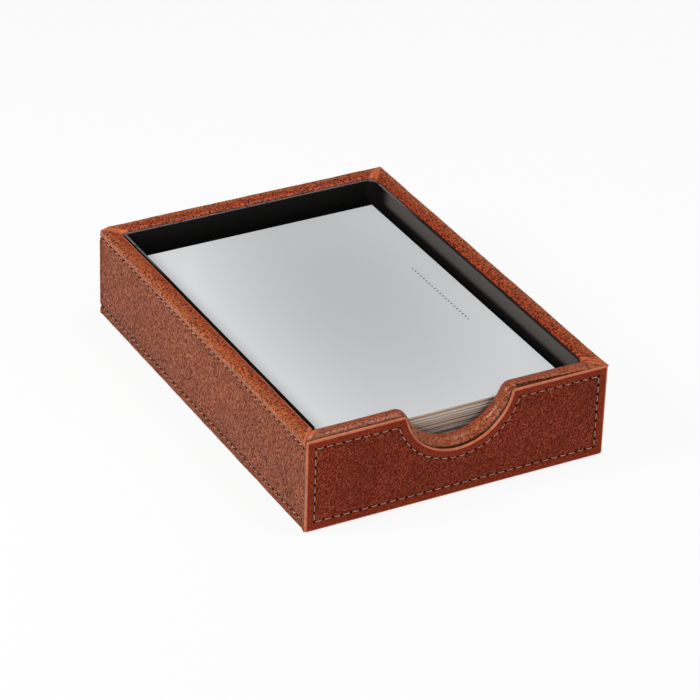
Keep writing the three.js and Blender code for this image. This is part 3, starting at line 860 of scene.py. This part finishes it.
def groove_dip(z):
    """How far a seam's pull draws the outer face in at a height."""
    groove_width, pull_width, pull_depth = 0.55 * MM, 1.8 * MM, 0.14 * MM
    dip = 0
    for seam_z in SEAM_HEIGHTS:
        away = abs(z - seam_z)
        dip += sizes().groove * math.exp(-(away / groove_width) ** 2)
        dip += pull_depth * math.exp(-(away / pull_width) ** 2)
    return dip


def rim_stand(z):
    """How far the padded rim stands out from the wall at a height above the upper seam."""
    rise = 1.3 * MM
    share = min(1, max(0, (z - TOP_SEAM) / rise))
    return sizes().rim_bulge * share * share * (3 - 2 * share)


def bend_heights(start, end):
    """Heights at which the wall's outer face may bend: even rows, and closer ones by a seam."""
    rows, row_gap, end_gap = 16, 0.12 * MM, 0.1 * MM
    seam_offsets = [offset * MM for offset in (-2.4, -1.5, -0.95, -0.6, -0.3, 0, 0.3, 0.6, 0.95, 1.4, 2)]
    heights = {start + (end - start) * row / rows for row in range(1, rows)}
    for seam_z in SEAM_HEIGHTS:
        heights.update(seam_z + offset for offset in seam_offsets)
    kept = [start]
    for height in sorted(heights):
        if height < end - end_gap and height - kept[-1] > row_gap:
            kept.append(height)
    return kept[1:]


def wall_profile():
    """The line of the leather's outer face across a wall, as depths and heights, from the
    end of the turn-under round the foot, up the outside, over the rim and down the inside."""
    s = sizes()
    inner_rounding, first_fall = 2.6 * MM, 8 * MM
    foot, rim = s.foot_rounding, s.wall_rim_rounding
    inner = WALL_THICKNESS - inner_rounding
    points = [(s.turn_under, SKIRT), (WALL_THICKNESS / 2, SKIRT)]
    points += quarter((foot, SKIRT + foot), (foot, foot), 270, 4)
    for height in bend_heights(SKIRT + foot, RIM - rim):
        points.append((groove_dip(height) - rim_stand(height), height))
    points += quarter((rim - s.rim_bulge, RIM - rim), (rim, rim), 180, 6)
    points += quarter((inner, RIM - inner_rounding), (inner_rounding, inner_rounding), 90, 7)
    points += [(WALL_THICKNESS, RIM - first_fall), (WALL_THICKNESS, RIM - s.turn_in)]
    return points


def fold_sheet(name, half_span):
    """Starts with one long edge of the leather and extrudes it along the wall's profile."""
    s = sizes()
    clear_selection()
    bpy.ops.mesh.primitive_plane_add(size=2)
    piece = bpy.context.object
    piece.name = piece.data.name = name
    open_mesh(piece)
    pick(piece, "VERT", lambda v: v.co.y > 0)
    bpy.ops.mesh.delete(type="VERT")
    bpy.ops.mesh.select_all(action="SELECT")
    bpy.ops.transform.resize(value=(half_span, 1, 1))
    profile = wall_profile()
    bpy.ops.transform.translate(value=(0, 1 + profile[0][0], profile[0][1]))
    bpy.ops.mesh.subdivide(number_cuts=round(2 * half_span / s.mesh_step))
    bpy.ops.mesh.select_mode(type="EDGE")
    bpy.ops.mesh.select_all(action="SELECT")
    for (depth, height), (next_depth, next_height) in zip(profile, profile[1:]):
        move = (0, next_depth - depth, next_height - height)
        bpy.ops.mesh.extrude_region_move(TRANSFORM_OT_translate={"value": move})
    mitre_ends(half_span)
    run_out_grooves(piece, half_span)
    close_mesh()
    return piece


def mitre_ends(half_span):
    """Cuts both ends of the wall to a mitre, in edit mode."""
    for side in (-1, 1):
        cut_all((side * (half_span - HAIR), 0, 0), (side, 1, 0), clear_outer=True)


def run_out_grooves(piece, half_span):
    """Lets the seams' grooves run out at the corners, in edit mode."""
    end_reach, seam_reach = 1 * MM, 0.7 * MM
    depth_share = 0.8
    for seam_z in SEAM_HEIGHTS:
        shift(piece, lambda v: abs(v.co.x) > half_span - end_reach and abs(v.co.z - seam_z) < seam_reach,
              (0, -depth_share * sizes().groove, 0))


def uneven(piece, depth, size, seed):
    """Lets the surface sink here and there, as hand-laid leather does."""
    stride_x, stride_y = 137 * MM, 71 * MM
    clouds = bpy.data.textures.get("leather_lie") or bpy.data.textures.new("leather_lie", "CLOUDS")
    clouds.noise_scale = size
    clouds.noise_depth = 1
    anchor = bpy.data.objects.new("leather_lie_place", None)
    anchor.location = (seed * stride_x, seed * stride_y, 0)
    bpy.context.collection.objects.link(anchor)
    bpy.context.view_layer.update()
    apply_modifier(piece, "DISPLACE", texture=clouds, texture_coords="OBJECT",
                   texture_coords_object=anchor, mid_level=1, strength=depth)
    bpy.data.objects.remove(anchor)


def seam_run(name):
    """The two ends of a straight seam and the way out of its wall."""
    low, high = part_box(name)
    middle = (low + high) / 2
    if name.startswith("back"):
        return Vector((low.x, BACK_Y, middle.z)), Vector((high.x, BACK_Y, middle.z)), Vector((0, 1, 0))
    out = -1 if name.startswith("left") else 1
    ends = [Vector((out * HALF_WIDTH, y, middle.z)) for y in (low.y, high.y)]
    return ends[0], ends[1], Vector((out, 0, 0))


def stations(start, end):
    """Needle holes along a straight run."""
    count = max(1, round((end - start).length / sizes().stitch_pitch))
    return [start.lerp(end, i / count) for i in range(count + 1)]


def panel_seam_holes():
    """Needle holes round the front panel: along its edges and round below the notch."""
    s = sizes()
    half_thread = 0.35 * MM
    y = PANEL_LOW.y
    side, foot, head = SEAM_HIGH.x - half_thread, SEAM_LOW.z + half_thread, SEAM_HIGH.z - half_thread
    centre = panel_notch_z()
    radius = s.panel_notch_radius + s.panel_seam_inset
    lean = math.asin((centre - head) / radius)
    notch_x = radius * math.cos(lean)
    corners = [(-notch_x, head), (-side, head), (-side, foot), (side, foot), (side, head), (notch_x, head)]
    points = []
    for (x1, z1), (x2, z2) in zip(corners, corners[1:]):
        points += stations(Vector((x1, y, z1)), Vector((x2, y, z2)))[:-1]
    sweep = math.pi - 2 * lean
    count = round(radius * sweep / s.stitch_pitch)
    for i in range(count):
        angle = -lean - sweep * i / count
        points.append(Vector((radius * math.cos(angle), y, centre + radius * math.sin(angle))))
    return points


def punch(piece, points, out, along=None):
    """Cuts needle holes into a piece, painted dark inside as shade. With a direction along the
    seam, each hole is a slanting slot."""
    s = sizes()
    awl_length = 2 * MM
    slot_shares = (2.5, 0.8, 1, 1)
    clear_selection()
    bpy.ops.mesh.primitive_cone_add(vertices=9, radius1=s.needle_hole / 2, radius2=s.needle_hole / 3,
                                    depth=awl_length)
    awl = bpy.context.object
    awl.data.materials.append(material("needle_hole"))
    turn = (-out).to_track_quat("Z", "Y").to_matrix().to_4x4()
    sink = -out * (s.groove + s.hole_depth - awl_length / 2)
    if along:
        slant = Matrix.Rotation(-s.slot_slant, 4, out)
        basis = Matrix((along, out.cross(along), out)).transposed().to_4x4()
        turn = slant @ basis @ Matrix.Rotation(math.pi, 4, "X") @ Matrix.Diagonal(slot_shares)
        sink.z += s.slot_rise
    cutters = [copy_of(awl, Matrix.Translation(point + sink) @ turn) for point in points]
    discard(awl)
    carve(piece, join(cutters, "awl_marks"), material_mode="TRANSFER")


def carve(piece, cutter, **options):
    """Takes a cutter's shape out of a piece and deletes the cutter."""
    apply_modifier(piece, "BOOLEAN", operation="DIFFERENCE", object=cutter, solver="EXACT", **options)
    discard(cutter)


def rim_corner(x, y, inward, rounding, bulge):
    """A corner of the rounded rim a little below its top, inward of where its walls' planes
    meet."""
    sag = rounding - math.sqrt(rounding ** 2 - (rounding - CORNER_DROP) ** 2) - bulge
    return Vector((x + inward[0] * sag, y + inward[1] * sag, RIM - CORNER_DROP))


def move_corner(piece, start, move, falloff):
    """Moves the vertex nearest to a corner, and less so the leather round it."""
    nearest = min((vertex.co - start).length for vertex in piece.data.vertices)
    open_mesh(piece)
    pick(piece, "VERT", lambda v: (v.co - start).length < nearest + 2 * HAIR)
    bpy.ops.transform.translate(value=move, use_proportional_edit=True, proportional_edit_falloff=falloff,
                                proportional_size=sizes().corner_reach)
    close_mesh()


def draw_out_corner(piece, rounding, bulge):
    """Draws the rim's front right corner out to a tip, where the folded leather lies proud."""
    short_of_box, short_of_panel = 0.15 * MM, 0.2 * MM
    start = rim_corner(HALF_WIDTH, FRONT_Y, (-1, 1), rounding, bulge)
    tip = Vector((CAD_HIGH.x - short_of_box, PANEL_LOW.y + short_of_panel, RIM - CORNER_DROP))
    move_corner(piece, start, tip - start, "SHARP")


def blunt_corner(piece, rounding, bulge):
    """Draws the rim's back left corner in, where the folded leather is rounder."""
    inward = 0.4 * MM
    start = rim_corner(-HALF_WIDTH, BACK_Y, (1, -1), rounding, bulge)
    move_corner(piece, start, Vector((inward, -inward, -inward)), "ROOT")


def wall_leather(name, seed):
    """The leather folded over a plain wall."""
    s = sizes()
    hollow_depth, hollow_size = 0.3 * MM, 11 * MM
    piece = fold_sheet(f"{name}_wall_leather", WALL_HALF_SPANS[name])
    clean(piece)
    uneven(piece, hollow_depth, hollow_size, seed)
    apply_modifier(piece, "SOLIDIFY", thickness=s.leather, offset=-1)
    piece.data.transform(WALL_PLACES[name])
    shape_corner = draw_out_corner if name == "right" else blunt_corner
    shape_corner(piece, s.wall_rim_rounding, s.rim_bulge)
    piece.data.materials.append(material("wall_leather"))
    for place in ("top", "bottom"):
        start, end, out = seam_run(f"{name}_{place}_thread")
        punch(piece, stations(start, end), out, (end - start).normalized())
    soften(piece)
    dress(piece, "wall_leather", "tray", f"{name}_leather")


class TRAY_OT_wall_leather(bpy.types.Operator):
    """Folds the leather over the back, left and right walls"""

    bl_idname = "tray.wall_leather"
    bl_label = "Wall leather"

    def execute(self, context):
        for seed, name in enumerate(("back", "left", "right"), 1):
            wall_leather(name, seed)
        return {"FINISHED"}


def past(low_y, high_y):
    """The depths of a cutter that runs past both faces of what it cuts."""
    return low_y - OVERRUN, high_y + OVERRUN


def new_rod(radius, x, z, depth_range, sides):
    """A round rod that runs through the wall."""
    clear_selection()
    low_y, high_y = depth_range
    bpy.ops.mesh.primitive_cylinder_add(vertices=sides, radius=radius, depth=high_y - low_y,
                                        location=(x, (low_y + high_y) / 2, z),
                                        rotation=(math.pi / 2, 0, 0))
    rod = bpy.context.object
    settle(rod)
    return rod


def cut_wall_notch(piece, depth_range):
    """Cuts the thumb notch through a wall, rounding it into the rim on both sides."""
    s = sizes()
    centre_z = wall_notch_z()
    shoulder_z = RIM - s.notch_shoulder
    reach = s.notch_radius + s.notch_shoulder
    shoulder_x = math.sqrt(reach ** 2 - (centre_z - shoulder_z) ** 2)
    join_z = centre_z - (centre_z - shoulder_z) * s.notch_radius / reach
    low_y, high_y = depth_range
    mouth = new_block("notch_mouth", (-shoulder_x, low_y, join_z), (shoulder_x, high_y, RIM + 2 * OVERRUN))
    for side in (-1, 1):
        rod = new_rod(s.notch_shoulder, side * shoulder_x, shoulder_z, past(*depth_range), SHOULDER_SIDES)
        carve(mouth, rod)
    carve(piece, mouth)
    carve(piece, new_rod(s.notch_radius, 0, centre_z, depth_range, NOTCH_SIDES))


class TRAY_OT_front_leather(bpy.types.Operator):
    """Folds the leather over the front wall and round its thumb notch"""

    bl_idname = "tray.front_leather"
    bl_label = "Front leather"

    def execute(self, context):
        s = sizes()
        spare_end, merge = 3 * MM, 0.3 * MM
        hollow_depth, hollow_size, hollow_seed = 0.25 * MM, 10 * MM, 5
        end = HALF_WIDTH + spare_end
        piece = new_block("front_wall_leather", (-end, 0, SKIRT), (end, WALL_THICKNESS, RIM))
        cut_wall_notch(piece, past(0, WALL_THICKNESS))
        clean(piece, merge)
        open_mesh(piece)
        self.roll_rim(piece, end)
        self.slice_wall(piece)
        mitre_ends(HALF_WIDTH)
        self.open_sheet(piece)
        self.fold_ends(piece)
        close_mesh()
        clean(piece)
        uneven(piece, hollow_depth, hollow_size, hollow_seed)
        apply_modifier(piece, "SOLIDIFY", thickness=s.leather, offset=-1)
        piece.data.transform(WALL_PLACES["front"])
        draw_out_corner(piece, s.rim_rounding, 0)
        soften(piece, 40)
        dress(piece, "rim_leather", "tray", "front_leather")
        return {"FINISHED"}

    def roll_rim(self, piece, end):
        """Rounds the rim and the notch, and sinks the face that the panel lies on."""
        band, sinks = 0.35 * MM, (0.12 * MM, 0.45 * MM)
        pick(piece, "EDGE", lambda e: self.on_rim(e, end - HAIR))
        bpy.ops.mesh.bevel(offset=sizes().rim_rounding, segments=7, profile=0.5, affect="EDGES",
                           clamp_overlap=False)
        pick(piece, "FACE", lambda f: f.normal.y < -0.999)
        for sink in sinks:
            inset(band, -sink)

    @staticmethod
    def on_rim(edge, end):
        """Whether an edge is where the rim or the notch meets the wall's front or back."""
        if len(edge.link_faces) != 2:
            return False
        flat = [face for face in edge.link_faces if abs(face.normal.y) > 0.99]
        across = [face for face in edge.link_faces if abs(face.normal.y) < 0.1]
        if not flat or not across:
            return False
        return across[0].normal.z > -0.5 and abs(across[0].calc_center_median().x) < end

    def slice_wall(self, piece):
        """Divides the wall's flat faces into a grid, and cuts round where the turn-in ends."""
        s = sizes()
        columns = round(HALF_WIDTH / s.mesh_step)
        for column in range(-columns, columns + 1):
            self.slice_faces(piece, (column * HALF_WIDTH / columns, 0, 0), (1, 0, 0))
        rows = round((RIM - SKIRT) / s.mesh_step)
        for row in range(1, rows):
            self.slice_faces(piece, (0, 0, SKIRT + (RIM - SKIRT) * row / rows), (0, 0, 1))
        cut_all((0, 0, RIM - s.turn_in), (0, 0, 1))

    @staticmethod
    def slice_faces(piece, point, normal):
        """Cuts the flat front and back of the wall along a plane."""
        pick(piece, "FACE", lambda f: abs(f.normal.y) > 0.999)
        bpy.ops.mesh.bisect(plane_co=point, plane_no=normal)

    @staticmethod
    def open_sheet(piece):
        """Takes away the inside below the turn-in and the two ends, which leaves a sheet."""
        end_x, turn_in_z = HALF_WIDTH - MITRE_REACH, RIM - sizes().turn_in
        remove_faces(piece, lambda f: f.normal.y > 0.99 and f.calc_center_median().z < turn_in_z)
        remove_faces(piece, lambda f: abs(f.normal.x) > 0.6 and abs(f.calc_center_median().x) > end_x)

    @staticmethod
    def fold_ends(piece):
        """Lowers the rim under the side walls' folds, and lifts the sheet's lower corners."""
        s = sizes()
        fold_x, fold_z = HALF_WIDTH - MITRE_REACH, RIM - 4 * MM
        foot_x, foot_z = HALF_WIDTH - 2.5 * MM, SKIRT + 0.5 * MM
        shift(piece, lambda v: abs(v.co.x) > fold_x and v.co.z > fold_z, (0, 0, -s.fold_step))
        shift(piece, lambda v: abs(v.co.x) > foot_x and v.co.z < foot_z, (0, 0, s.foot_rounding))


class TRAY_OT_front_panel(bpy.types.Operator):
    """Makes the stitched leather panel on the front wall"""

    bl_idname = "tray.front_panel"
    bl_label = "Front panel"

    def execute(self, context):
        s = sizes()
        crown = 0.5 * MM
        low = PANEL_LOW + Vector((0, crown, 0))
        piece = new_block("front_stitched_panel", low, PANEL_HIGH)
        for name in ("panel_leather", "burnished_edge"):
            piece.data.materials.append(material(name))
        depth_range = past(low.y, PANEL_HIGH.y)
        carve(piece, new_rod(s.panel_notch_radius, 0, panel_notch_z(), depth_range, NOTCH_SIDES))
        open_mesh(piece)
        self.round_corners(piece, False, s.panel_corner, 4)
        self.round_corners(piece, True, s.panel_foot_corner, 5)
        pick(piece, "FACE", lambda f: f.normal.y < -0.99)
        self.shape_face(piece)
        close_mesh()
        punch(piece, panel_seam_holes(), Vector((0, -1, 0)))
        soften(piece, 50)
        dress(piece, "panel_leather", "tray", "front_panel")
        return {"FINISHED"}

    def round_corners(self, piece, at_foot, radius, segments):
        """Rounds the panel's lower corners, or else its upper ones and those of its notch."""
        foot_z = PANEL_LOW.z + 1 * MM
        pick(piece, "EDGE", lambda e: self.is_corner(e) and (e.verts[0].co.z < foot_z) == at_foot)
        bpy.ops.mesh.bevel(offset=radius, segments=segments, profile=0.5, affect="EDGES")

    @staticmethod
    def is_corner(edge):
        """Whether an edge is one of the panel's outer corners or a corner of its notch."""
        first, second = (vertex.co for vertex in edge.verts)
        if abs((second - first).normalized().y) < 0.99 or len(edge.link_faces) != 2:
            return False
        return edge.calc_face_angle() > math.radians(40)

    def shape_face(self, piece):
        """Rounds the panel's edge, and lets its face dip into the seam's groove. Each band of
        insets has a width and a rise."""
        merge = 0.6 * MM
        edge = [(0.1 * MM, 0.22 * MM), (0.2 * MM, 0.16 * MM), (0.3 * MM, 0.1 * MM)]
        into_groove = [(0.5 * MM, -0.08 * MM), (0.45 * MM, -0.26 * MM), (0.3 * MM, -0.05 * MM)]
        out_of_groove = [(0.3 * MM, 0.05 * MM), (0.45 * MM, 0.22 * MM), (0.5 * MM, 0.08 * MM)]
        lead_rises = (0.01 * MM, 0.01 * MM, 0, 0, -0.02 * MM)
        for width, rise in edge:
            inset(width, rise)
        self.burnish_edge(piece)
        bpy.ops.mesh.remove_doubles(threshold=merge)
        lead = sizes().panel_seam_inset - sum(width for width, rise in edge + into_groove)
        lead_in = [(lead / len(lead_rises), rise) for rise in lead_rises]
        for width, rise in lead_in + into_groove + out_of_groove:
            inset(width, rise)
            bpy.ops.mesh.remove_doubles(threshold=merge)

    @staticmethod
    def burnish_edge(piece):
        """Gives every face but the selected one the burnished finish."""
        bpy.ops.mesh.select_all(action="INVERT")
        piece.active_material_index = 1
        bpy.ops.object.material_slot_assign()
        bpy.ops.mesh.select_all(action="INVERT")


def new_stitch(reach):
    """One stitch along X that reaches so far from its middle, with its ends diving in."""
    cut_shares = (-0.86, -0.66, -0.3, 0.3, 0.66, 0.86)
    dives = {1: 0.95 * MM, 0.86: 0.5 * MM, 0.66: 0.16 * MM}
    clear_selection()
    bpy.ops.mesh.primitive_cylinder_add(vertices=7, radius=sizes().thread / 2, depth=2 * reach,
                                        rotation=(0, math.pi / 2, 0))
    stitch = bpy.context.object
    settle(stitch)
    open_mesh(stitch)
    for share in cut_shares:
        cut_all((share * reach, 0, 0), (1, 0, 0))
    for share, dive in dives.items():
        shift(stitch, lambda v: abs(abs(v.co.x) - share * reach) < HAIR, (0, 0, -dive))
    close_mesh()
    soften(stitch, 60)
    return stitch


def lay_stitches(name, pairs, out, slant, reach, node):
    """Lays a copy of one stitch between each pair of needle holes and joins them."""
    s = sizes()
    tilt_range = 0.03
    least_lift, most_lift = 0.1 * MM, 0.16 * MM
    stitch = new_stitch(reach)
    draw = random.Random(name)
    laid = []
    for start, end in pairs:
        along = (end - start).normalized()
        basis = Matrix((along, out.cross(along), out)).transposed().to_4x4()
        tilt = Matrix.Rotation(slant + draw.uniform(-tilt_range, tilt_range), 4, "Z")
        stretch = Matrix.Diagonal(((end - start).length / s.stitch_pitch, 1, 1, 1))
        height = out * (s.thread * 0.5 - s.groove + draw.uniform(least_lift, most_lift))
        place = Matrix.Translation((start + end) / 2 + height)
        laid.append(copy_of(stitch, place @ basis @ tilt @ stretch))
    discard(stitch)
    dress(join(laid, name), "waxed_thread", "tray", node)


class TRAY_OT_stitching(bpy.types.Operator):
    """Lays the stitches of every seam"""

    bl_idname = "tray.stitching"
    bl_label = "Stitching"

    def execute(self, context):
        s = sizes()
        panel_slant, wall_slant = 0.04, 0.12
        panel_reach = s.stitch_pitch / 2 - s.needle_hole * 0.35
        wall_reach = s.stitch_pitch / 2 - s.needle_hole * 0.8
        holes = panel_seam_holes()
        pairs = list(zip(holes, holes[1:] + holes[:1]))
        lay_stitches("front_panel_stitches", pairs, Vector((0, -1, 0)), panel_slant, panel_reach,
                     "front_panel_thread")
        for wall in ("back", "left", "right"):
            for place in ("top", "bottom"):
                node = f"{wall}_{place}_thread"
                start, end, out = seam_run(node)
                run = stations(start, end)
                lay_stitches(f"{wall}_{place}_stitches", zip(run, run[1:]), out, wall_slant, wall_reach,
                             node)
        return {"FINISHED"}


class TRAY_OT_lining(bpy.types.Operator):
    """Finishes the black lining, the boards and the felt"""

    bl_idname = "tray.lining"
    bl_label = "Lining, boards and felt"

    def execute(self, context):
        groups = {
            "satin_lining": ("back_lining", "left_lining", "right_lining", "floor_lining"),
            "fibre_board": ("front_board", "back_board", "left_board", "right_board", "base_board"),
            "needled_felt": ("base_felt",),
        }
        for finish, nodes in groups.items():
            for node in nodes:
                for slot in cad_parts[node].material_slots:
                    slot.material = material(finish)
        self.line_front()
        return {"FINISHED"}

    @staticmethod
    def line_front():
        """Makes the front's lining, which stops below the rim and the notch."""
        s = sizes()
        eased = 0.12 * MM
        low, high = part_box("front_lining")
        high.z -= s.front_lining_drop
        piece = new_block("front_lining_sheet", low, high)
        radius = s.notch_radius + s.lining_notch_drop
        carve(piece, new_rod(radius, 0, wall_notch_z(), past(low.y, high.y), LINING_NOTCH_SIDES))
        open_mesh(piece)
        pick(piece, "EDGE", lambda e: len(e.link_faces) == 2 and e.calc_face_angle() > math.radians(50))
        bpy.ops.mesh.bevel(offset=eased, segments=2, affect="EDGES")
        close_mesh()
        soften(piece)
        dress(piece, "satin_lining", "tray", "front_lining")


def new_card(name, thickness):
    """One note card, flat at the origin, with slightly eased edges."""
    eased = 0.04 * MM
    half = (CARD_HIGH - CARD_LOW) / 2
    card = new_block(name, (-half.x, -half.y, 0), (half.x, half.y, thickness))
    open_mesh(card)
    bpy.ops.mesh.select_all(action="SELECT")
    bpy.ops.mesh.bevel(offset=eased, segments=1, affect="EDGES")
    close_mesh()
    return card


def stack_cards(node, name, finish, body, jog):
    """Fills a node's space with single cards that lie a little out of line."""
    s = sizes()
    low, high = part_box(node)
    middle = (CARD_LOW + CARD_HIGH) / 2
    pitch = CARD_HIGH.z - CARD_LOW.z
    count = round((high.z - low.z) / pitch)
    draw = random.Random(node)
    card = new_card(name, s.card)
    laid = []
    for i in range(count):
        aside = draw.uniform(-1, 1) * jog
        ahead = draw.uniform(-1, 0.6) * jog
        y = (low.y + high.y) / 2 if count == 1 else middle.y
        place = Vector((middle.x + aside, y + ahead, low.z + i * pitch + (pitch - s.card) / 2))
        laid.append(copy_of(card, Matrix.Translation(place)))
    discard(card)
    pack = join(laid, name)
    soften(pack)
    dress(pack, finish, body, node)


class TRAY_OT_note_cards(bpy.types.Operator):
    """Stacks the note cards"""

    bl_idname = "tray.note_cards"
    bl_label = "Note cards"

    def execute(self, context):
        jog = sizes().card_jog
        stack_cards("note_cards_lower", "cards_lower", "plain_card", "card_stack", jog)
        stack_cards("note_card_proud", "card_proud", "plain_card", "card_stack", 0)
        stack_cards("note_cards_upper", "cards_upper", "plain_card", "card_stack", jog)
        stack_cards("note_card_top", "card_top", "dotted_card", "top_card", 0)
        return {"FINISHED"}


# The lamps: their names, places, widths and watts
LAMPS = (
    ("top_lamp", (0.45, -0.25, 1.15), 0.8, 5.8),
    ("side_lamp", (-0.42, 0.02, 0.42), 0.22, 1.6),
    ("front_lamp", (-0.3, -1.1, 0.18), 0.32, 1.6),
)

# The camera, as it was fitted to the photograph: angles in degrees and distances in millimetres
CAMERA_AZIMUTH, CAMERA_ELEVATION, CAMERA_ROLL = -29.125, 30.329, 1.907
CAMERA_DISTANCE, AIM_HEIGHT, AIM_ASIDE, AIM_DOWN = 1338.1, 20, 2.11, 4.12
CAMERA_LENS, CAMERA_SENSOR = 177.57, 36


def add_lamp(name, place, width, watts):
    """Adds a soft square lamp that looks at the middle of the tray."""
    lamp = bpy.data.lights.new(name, "AREA")
    lamp.shape = "SQUARE"
    lamp.size = width
    lamp.energy = watts
    holder = bpy.data.objects.new(name, lamp)
    holder.location = place
    sight = Vector((0, 0, AIM_HEIGHT * MM)) - Vector(place)
    holder.rotation_euler = sight.to_track_quat("-Z", "Y").to_euler()
    bpy.context.collection.objects.link(holder)


def add_camera():
    """Adds the camera at the photograph's viewing angle."""
    azimuth, elevation = math.radians(CAMERA_AZIMUTH), math.radians(CAMERA_ELEVATION)
    roll = math.radians(CAMERA_ROLL)
    back = Vector((math.sin(azimuth) * math.cos(elevation), -math.cos(azimuth) * math.cos(elevation),
                   math.sin(elevation)))
    right = Vector((math.cos(azimuth), math.sin(azimuth), 0))
    up = back.cross(right)
    target = Vector((0, 0, AIM_HEIGHT * MM)) + right * AIM_ASIDE * MM - up * AIM_DOWN * MM
    rolled_right = right * math.cos(roll) + up * math.sin(roll)
    rolled_up = up * math.cos(roll) - right * math.sin(roll)
    turn = Matrix((rolled_right, rolled_up, back)).transposed().to_4x4()
    camera = bpy.data.objects.new("camera", bpy.data.cameras.new("camera"))
    camera.matrix_world = Matrix.Translation(target + back * CAMERA_DISTANCE * MM) @ turn
    camera.data.sensor_width = CAMERA_SENSOR
    camera.data.lens = CAMERA_LENS
    bpy.context.collection.objects.link(camera)
    bpy.context.scene.camera = camera


class TRAY_OT_stage(bpy.types.Operator):
    """Sets the floor, the lamps, the world and the camera"""

    bl_idname = "tray.stage"
    bl_label = "Stage"

    def execute(self, context):
        floor_size, world_strength = 6, 0.25
        clear_selection()
        bpy.ops.mesh.primitive_plane_add(size=floor_size)
        floor = context.object
        floor.name = "floor"
        floor.data.materials.append(material("studio_floor"))
        for lamp in LAMPS:
            add_lamp(*lamp)
        world = bpy.data.worlds.new("studio")
        world.use_nodes = True
        background = world.node_tree.nodes["Background"]
        background.inputs["Color"].default_value = (1, 1, 1, 1)
        background.inputs["Strength"].default_value = world_strength
        context.scene.world = world
        context.scene.view_settings.view_transform = "Standard"
        add_camera()
        return {"FINISHED"}


STEPS = (
    TRAY_OT_stage,
    TRAY_OT_wall_leather,
    TRAY_OT_front_leather,
    TRAY_OT_front_panel,
    TRAY_OT_stitching,
    TRAY_OT_lining,
    TRAY_OT_note_cards,
)


class TRAY_PT_sidebar(bpy.types.Panel):
    """Lists the tray's sizes, colours and steps"""

    bl_label = "Memo Tray"
    bl_idname = "TRAY_PT_sidebar"
    bl_space_type = "VIEW_3D"
    bl_region_type = "UI"
    bl_category = "Memo Tray"

    def draw(self, context):
        for group in (context.scene.tray_sizes, context.scene.tray_colours):
            box = self.layout.box()
            for key in group.__annotations__:
                box.prop(group, key)
        for step in STEPS:
            self.layout.operator(step.bl_idname)


CLASSES = (TraySizes, TrayColours, *STEPS, TRAY_PT_sidebar)


def register():
    for cls in CLASSES:
        bpy.utils.register_class(cls)
    bpy.types.Scene.tray_sizes = PointerProperty(type=TraySizes)
    bpy.types.Scene.tray_colours = PointerProperty(type=TrayColours)


def unregister():
    del bpy.types.Scene.tray_colours
    del bpy.types.Scene.tray_sizes
    for cls in reversed(CLASSES):
        bpy.utils.unregister_class(cls)


def main():
    register()
    for step in STEPS:
        group, action = step.bl_idname.split(".")
        getattr(getattr(bpy.ops, group), action)()
    clear_selection()


if __name__ == "__main__":
    main()
